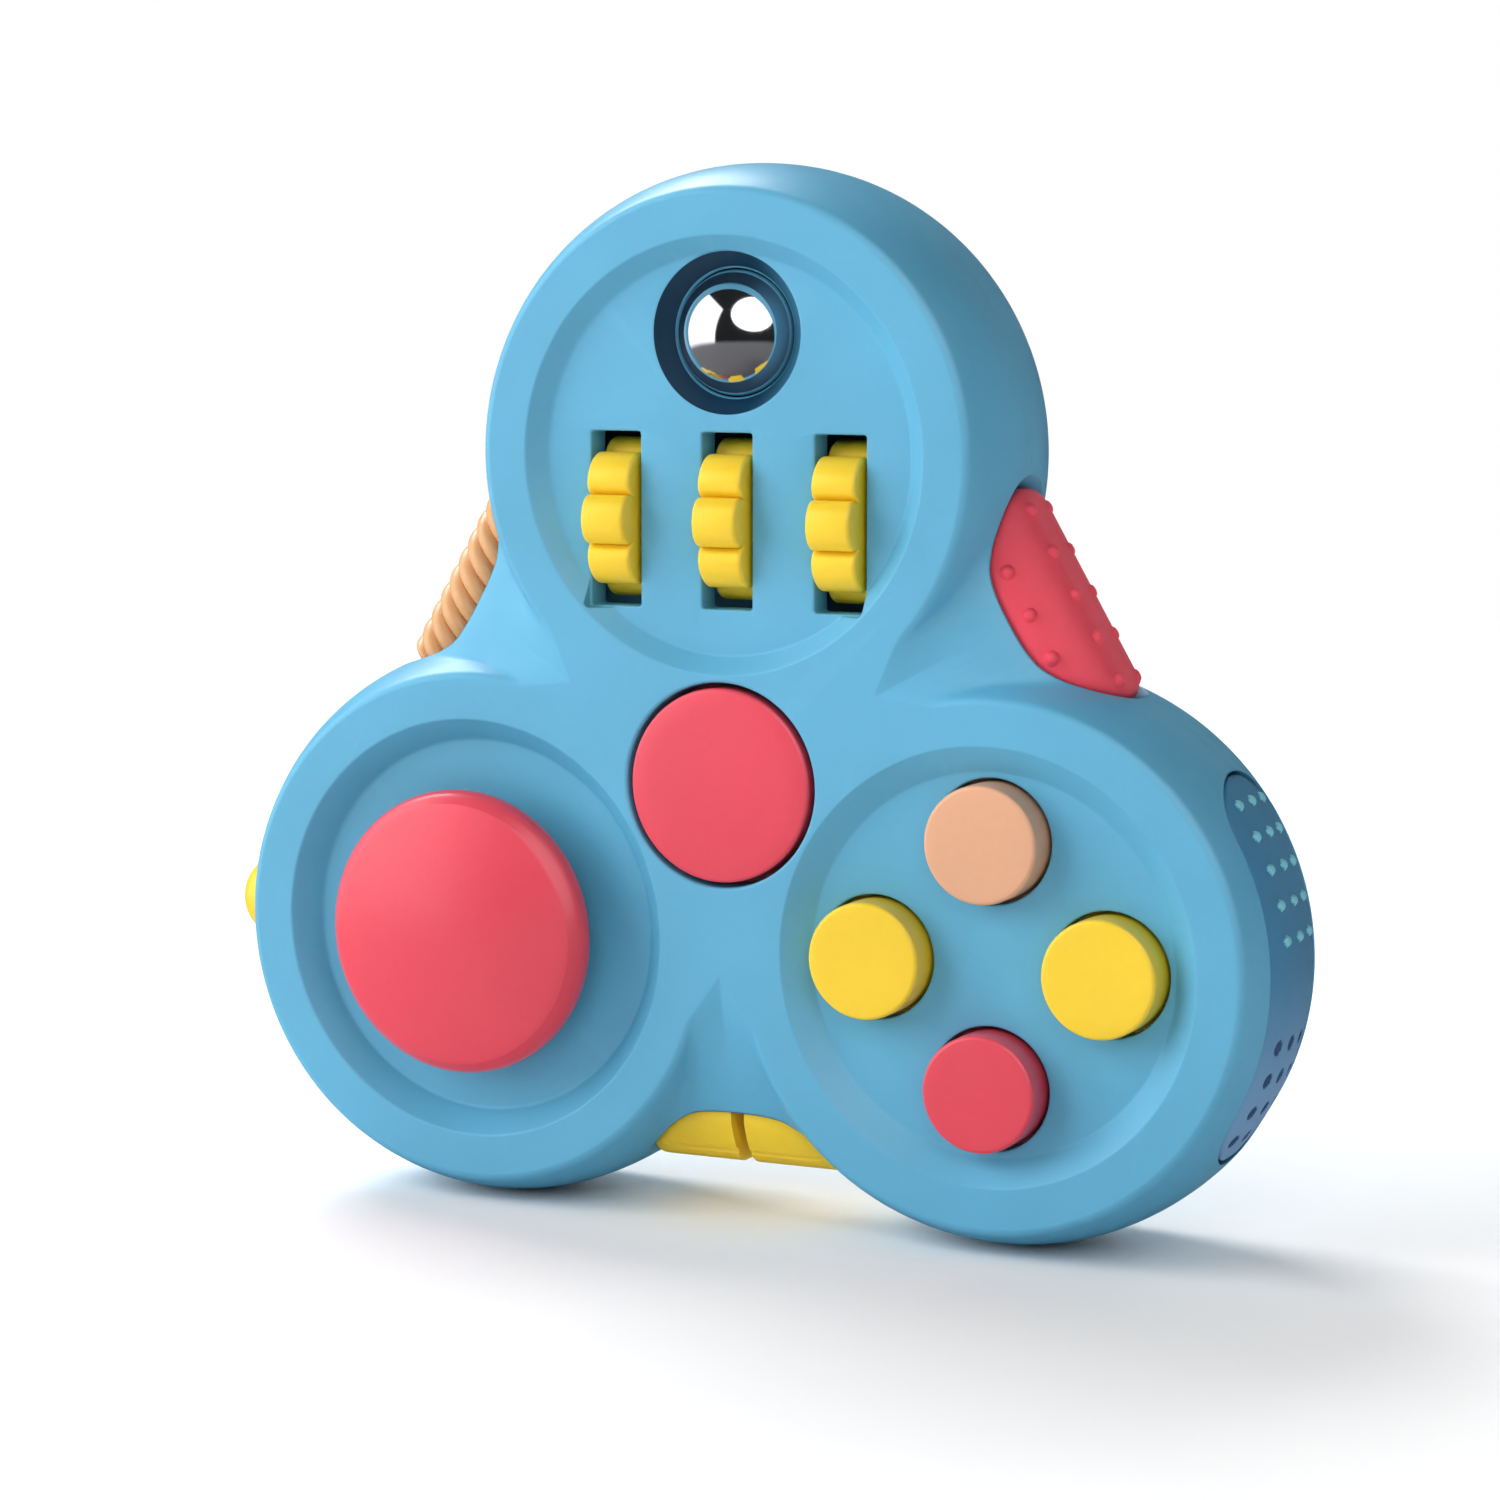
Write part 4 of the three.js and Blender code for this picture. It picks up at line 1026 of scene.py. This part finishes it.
def sheet_faces(ns, nd):
    """Faces of an outer and an inner ns x nd grid, joined round the border."""
    faces, inner = [], ns * nd
    for i in range(ns - 1):
        for j in range(nd - 1):
            a, b, c, e = i * nd + j, i * nd + j + 1, (i + 1) * nd + j + 1, (i + 1) * nd + j
            faces.append((a, b, c, e))
            faces.append((a + inner, e + inner, c + inner, b + inner))
    for i in range(ns - 1):
        for j in (0, nd - 1):
            a, b = i * nd + j, (i + 1) * nd + j
            if j:
                a, b = b, a
            faces.append((a, b, b + inner, a + inner))
    for j in range(nd - 1):
        for i in (0, ns - 1):
            a, b = i * nd + j, i * nd + j + 1
            if i == 0:
                a, b = b, a
            faces.append((a, b, b + inner, a + inner))
    return faces


def grip_strip():
    """Band round the right lobe's side, with round nubs above and round pits below. The nubs are
    coloured lighter as a painted highlight and the pits darker as painted shade.
    """
    half_arc = R_MID * rad(STRIP_ANG)
    ns, nd = 390, 124               # stations along and across
    s = np.linspace(-1, 1, ns)
    dense_ends = np.sin(np.linspace(-np.pi / 2, np.pi / 2, ns))
    s = half_arc * (0.86 * s + 0.14 * dense_ends)
    s = np.clip(s, -half_arc + 0.012, half_arc - 0.012)
    along, side = np.meshgrid(s, np.linspace(-1, 1, nd), indexing="ij")
    end = np.clip((np.abs(along) - (half_arc - STRIP_HALF)) / STRIP_HALF, 0, 1)
    half_width = STRIP_HALF * np.sqrt(np.maximum(1 - end * end, 0))
    across = half_width * side
    angle = along / R_MID
    barrel_r = np.vectorize(lobe_radius)(SPLIT + across)

    # soft rolled border
    from_border = np.minimum(half_width * (1 - np.abs(side)), half_arc - np.abs(along))
    r = barrel_r - 0.15 - 0.16 * (1 - np.clip(from_border / 0.35, 0, 1)) ** 2

    def from_dot(dot_angle, row, radius):
        return np.hypot((angle - rad(dot_angle)) * R_MID, across - row) / radius

    # slot 1 marks the nubs, coloured lighter as a painted highlight; slot 2 marks the pits,
    # coloured darker as painted shade
    slot = np.zeros(along.shape, int)       # material slot of each point
    for dot_angle in NUB_ANGLES:
        for row in DOT_ROWS:
            q = from_dot(dot_angle, row, NUB_R)
            r = r + NUB_HEIGHT * np.sqrt(1 - np.minimum(q, 1) ** 2)
            slot[q < 0.98] = 1
    for dot_angle in PIT_ANGLES:
        for row in DOT_ROWS:
            q = from_dot(dot_angle, row, PIT_R)
            r = r - PIT_DEPTH * np.cos(np.pi / 2 * np.minimum(q, 1)) ** 1.4
            slot[q < 0.85] = 2

    def sheet(radius):
        x, z = RX + radius * np.cos(angle), RZ + radius * np.sin(angle)
        return np.stack([x, Y_SPLIT + across, z], axis=2).reshape(-1, 3)

    verts = np.concatenate([sheet(r), sheet(barrel_r - 1.2)])
    solid = (verts, sheet_faces(ns, nd))
    ob = make("nub_strip", solid, STRIP_BLUE, angle=70, weighted=False)
    ob.data.materials.append(NUB_PAINTED_HIGHLIGHT)
    ob.data.materials.append(PIT_PAINTED_SHADE)
    slot = slot.reshape(-1)
    for face in ob.data.polygons:
        corners = list(face.vertices)
        if max(corners) < ns * nd:
            slots = [slot[i] for i in corners]
            if slots.count(1) >= 2:
                face.material_index = 1
            elif slots.count(2) >= 2:
                face.material_index = 2
    return ob


stand_for(grip_strip(), "grip_strip")


# ------------------------------------------------------------------ soft parts inside
def round_corners(points):
    """Rounds the corners of an open profile by cutting them twice."""
    points = [np.array(point, dtype=float) for point in points]
    for _ in range(2):
        cut = [points[0]]
        for a, b in zip(points[:-1], points[1:]):
            cut += [a * 0.8 + b * 0.2, a * 0.2 + b * 0.8]
        points = cut + [points[-1]]
    return [(float(a), float(b)) for a, b in points]


def soft_dome(name, x, z, profile, piece):
    """A moulded silicone dome under a button."""
    ob = make(name, face_turned(x, z, profile, 72), CLEAR_SIL, angle=50)
    stand_for(ob, piece)
    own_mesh(ob)


# outside, then inside of the centre button's dome: radius, depth
profile = round_corners([(0, 6.3), (2.05, 6.3), (2.4, 6.55), (2.6, 7.2), (4.25, 8.9), (4.3, 9.6)])
profile += round_corners([(3.35, 9.6), (3.3, 9.0), (1.8, 7.6), (0, 7.6)])
soft_dome("centre_return_dome", 0, 0, profile, "centre_dome")


def dome_plate():
    """Round sheet in the right lobe, with a hole under each button."""
    profile = [(0, 8.2), (12.4, 8.2), (12.54, 8.26), (12.6, 8.4), (12.6, 8.75), (12.5, 8.9),
               (0, 8.9)]
    ob = blank("dome_plate", face_turned(RX, RZ, profile, 128))
    holes = [face_turned(x, z, rod(2.3, 7.5, 9.5), 64) for x, z in BUTTON_AT.values()]
    boolean(ob, cutter(*holes))
    finish(ob, CLEAR_SIL, angle=40)
    return ob


stand_for(dome_plate(), "dome_sheet")

# outside, then inside of the four buttons' domes: radius, depth
profile = round_corners([(0, 5.6), (1.65, 5.6), (1.9, 5.85), (2.0, 6.4), (3.25, 8.15), (3.5, 8.3)])
profile += round_corners([(2.25, 8.3), (1.4, 6.7), (0, 6.7)])
for name, (x, z) in BUTTON_AT.items():
    dome_name = name.replace("button", "dome")
    soft_dome(dome_name, x, z, profile, "dome_sheet")

KEY_BUMP_FOOT = 20.45               # distance out


def key_pad_strip():
    """Flat strip inside the bottom web."""
    solid = box((-6.0, y_at(5.2), 20.0), (6.0, y_at(9.8), 20.5))
    ob = blank("key_pad_strip", on_web("bottom", solid))
    soften = ob.modifiers.new("edge", "BEVEL")
    soften.width = 0.15 * MM
    soften.segments = 3
    soften.limit_method = "ANGLE"
    finish(ob, CLEAR_SIL, angle=40)
    return ob


def key_bump(name, side):
    """Soft bump on the strip, under one key."""
    profile = round_corners([(0, -0.05), (1.5, -0.05), (1.45, 0.1), (1.2, 0.6), (0.75, 0.97),
                             (0, 1.0)])
    verts, faces = turned(profile, 64)
    x, y, z = verts.T
    placed = np.stack([x + 2.6 * side, z + Y_SPLIT, y + KEY_BUMP_FOOT], axis=1)
    return make(name, on_web("bottom", (placed, faces)), CLEAR_SIL, angle=50)


stand_for(key_pad_strip(), "key_pad")
for name, side in (("key_bump_left", 1), ("key_bump_right", -1)):
    bump_ob = stand_for(key_bump(name, side), "key_pad")
    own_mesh(bump_ob)


# ------------------------------------------------------------------ springs
def coil(first_r, last_r, wire, start, end, turns):
    """A coil spring about Y, of a wire radius, with closed end turns."""
    sides, per_turn = 12, 40
    count = int(per_turn * turns)
    t = np.linspace(0, 1, count + 1)
    q = 2 * np.pi * turns * t
    rise = np.clip((t - 0.1) / 0.8, 0, 1)
    y = start + wire + (end - start - 2 * wire) * (0.94 * rise + 0.06 * t)
    r = first_r + (last_r - first_r) * t
    path = np.stack([r * np.cos(q), y, r * np.sin(q)], axis=1)
    tangent = np.gradient(path, axis=0)
    tangent /= np.linalg.norm(tangent, axis=1, keepdims=True)
    out = np.stack([np.cos(q), np.zeros_like(q), np.sin(q)], axis=1)
    side = np.cross(tangent, out)
    side /= np.linalg.norm(side, axis=1, keepdims=True)
    out = np.cross(side, tangent)
    a = 2 * np.pi * np.arange(sides) / sides
    c, s = np.cos(a)[:, None], np.sin(a)[:, None]
    return lofted([path[i] + wire * (c * out[i] + s * side[i]) for i in range(count + 1)])


solid = towards_minus_x(coil(2.2, 2.2, wire=0.3, start=SIDE_SPRING_FOOT, end=16.5, turns=4))
spring = make("side_return_spring", solid, STEEL, angle=50, weighted=False)
stand_for(spring, "side_spring")
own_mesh(spring)

# the centring spring is wider at its front end, which leaves room for the stem's swing
verts, faces = coil(2.6, 2.0, wire=0.28, start=9.7, end=11.9, turns=3)
solid = (verts + np.array([LX, y_at(0), LZ]), faces)
spring = make("stem_centring_spring", solid, STEEL, angle=50, weighted=False)
stand_for(spring, "thumb_spring")


# ------------------------------------------------------------------ floor
def floor_paper():
    """White paper that shows dark in reflections and fades into the backdrop far off."""
    material = bpy.data.materials.new("floor_paper")
    material.use_nodes = True
    tree = material.node_tree
    bsdf = tree.nodes["Principled BSDF"]
    bsdf.inputs["Roughness"].default_value = 0.9
    bsdf.inputs["Specular IOR Level"].default_value = 0.1
    coords = node(tree, "TexCoord").outputs["Object"]
    ray = node(tree, "LightPath").outputs
    mottle = noise(tree, coords, scale=60)
    paper = mix_colour(tree, mottle, (0.90, 0.90, 0.905, 1), (0.93, 0.93, 0.93, 1))
    # polished metal sees a dark floor
    paper = mix_colour(tree, ray["Is Glossy Ray"], paper, (0.13, 0.13, 0.135, 1))
    tree.links.new(paper, bsdf.inputs["Base Color"])
    # far off, reflections look past the floor into the dark studio
    distance = node(tree, "VectorMath", {0: coords}, operation="LENGTH").outputs["Value"]
    far = remap(tree, distance, 0.20, 0.30)
    clear = node(tree, "BsdfTransparent").outputs[0]
    past = multiply(tree, ray["Is Glossy Ray"], far)
    surface = mix_shader(tree, past, bsdf.outputs[0], clear)
    # far off, the camera sees the plain backdrop
    fade = remap(tree, distance, 0.13, 0.50, interpolation_type="SMOOTHSTEP")
    white = node(tree, "Emission", {"Strength": 1.0}).outputs[0]
    seen = multiply(tree, ray["Is Camera Ray"], fade)
    surface = mix_shader(tree, seen, surface, white)
    tree.links.new(surface, tree.nodes["Material Output"].inputs[0])
    return material


def floor():
    """A sweep just under the lower lobes, curving up far behind the object."""
    floor_z = RZ - R_MID - 0.05
    bend_y, bend_r = 700, 900
    points = [(-2500, floor_z), (bend_y, floor_z)]
    for a in np.linspace(0, 90, 25):
        points.append((bend_y + bend_r * sind(a), floor_z + bend_r * (1 - cosd(a))))
    points.append((bend_y + bend_r, 3200))
    verts = [(x, y, z) for x in (-3500, 3500) for y, z in points]
    n = len(points)
    faces = [(i, i + 1, n + i + 1, n + i) for i in range(n - 1)]
    return make("floor", (verts, faces), floor_paper(), weighted=False, recalc=False)


floor()

# ------------------------------------------------------------------ camera
CAM_AZIMUTH, CAM_ELEVATION = rad(25.19), rad(6.88)
CAM_DISTANCE = 274.9995
CAM_TARGET = Vector((2.369, -THICK, 2.6473)) * MM

# from the object towards the camera
to_camera = Vector((
    math.sin(CAM_AZIMUTH) * math.cos(CAM_ELEVATION),
    -math.cos(CAM_AZIMUTH) * math.cos(CAM_ELEVATION),
    math.sin(CAM_ELEVATION),
))
camera_data = bpy.data.cameras.new("camera")
camera_data.sensor_width = 36.0
camera_data.lens = 94.78
camera_data.clip_start = 0.01
camera_data.clip_end = 50
camera = bpy.data.objects.new("camera", camera_data)
bpy.context.scene.collection.objects.link(camera)
camera.location = CAM_TARGET + to_camera * CAM_DISTANCE * MM
camera.rotation_euler = to_camera.to_track_quat("Z", "Y").to_euler()
bpy.context.scene.camera = camera

# ------------------------------------------------------------------ lights (metres, watts)
view_right = Vector((math.cos(CAM_AZIMUTH), math.sin(CAM_AZIMUTH), 0))
view_up = to_camera.cross(view_right)


def toward(x, y, z, distance):
    """A place seen from the object: x to the view's right, y up, z towards the camera."""
    return (view_right * x + view_up * y + to_camera * z).normalized() * distance


def area(name, place, size, power, aim=(0, 0, 0), shape="RECTANGLE", glossy=True, diffuse=True):
    """An area light of (width, height), turned to its aim."""
    light = bpy.data.lights.new(name, "AREA")
    light.shape = shape
    light.size, light.size_y = size
    light.energy = power
    ob = bpy.data.objects.new(name, light)
    ob.location = Vector(place)
    ob.rotation_euler = (Vector(place) - Vector(aim)).to_track_quat("Z", "Y").to_euler()
    bpy.context.scene.collection.objects.link(ob)
    ob.visible_glossy = glossy
    ob.visible_diffuse = diffuse


area("left_softbox", toward(-0.88, 0.40, 0.16, 1.2), size=(1.05, 0.95), power=15.0, glossy=False)
area("front_softbox", toward(0.04, 0.42, 0.9, 1.6), size=(1.15, 0.95), power=7.4, glossy=False)
# large white cards that show in reflections and give no diffuse light
area("left_card", toward(-0.93, 0.20, 0.05, 1.2), size=(1.9, 1.75), power=16.0, diffuse=False)
area("front_card", toward(0.27, 0.46, 0.84, 1.6), size=(2.35, 1.9), power=23.0,
     shape="ELLIPSE", diffuse=False)
area("top_strip", (-0.85, 0.60, 1.15), size=(0.9, 0.6), power=19.0)
area("backdrop_light", (0, 0.75, 0.9), size=(1.2, 0.5), power=16.0, aim=(0, 1.6, 0.25))


# ------------------------------------------------------------------ world
def studio_world():
    """Dim white room, darker in reflections and plain white to the camera."""
    world = bpy.data.worlds.new("studio")
    bpy.context.scene.world = world
    world.use_nodes = True
    tree = world.node_tree
    tree.nodes.clear()

    def background(colour, strength):
        inputs = {"Color": colour, "Strength": strength}
        return node(tree, "Background", inputs).outputs[0]

    ray = node(tree, "LightPath").outputs
    room = background((1, 1, 1, 1), strength=0.11)
    reflected = background((0.9, 0.95, 1, 1), strength=0.02)
    backdrop = background((1, 1, 1, 1), strength=1.0)
    room = mix_shader(tree, ray["Is Glossy Ray"], room, reflected)
    shown = mix_shader(tree, ray["Is Camera Ray"], room, backdrop)
    node(tree, "OutputWorld", {0: shown})


studio_world()
bpy.context.scene.view_settings.view_transform = "Standard"
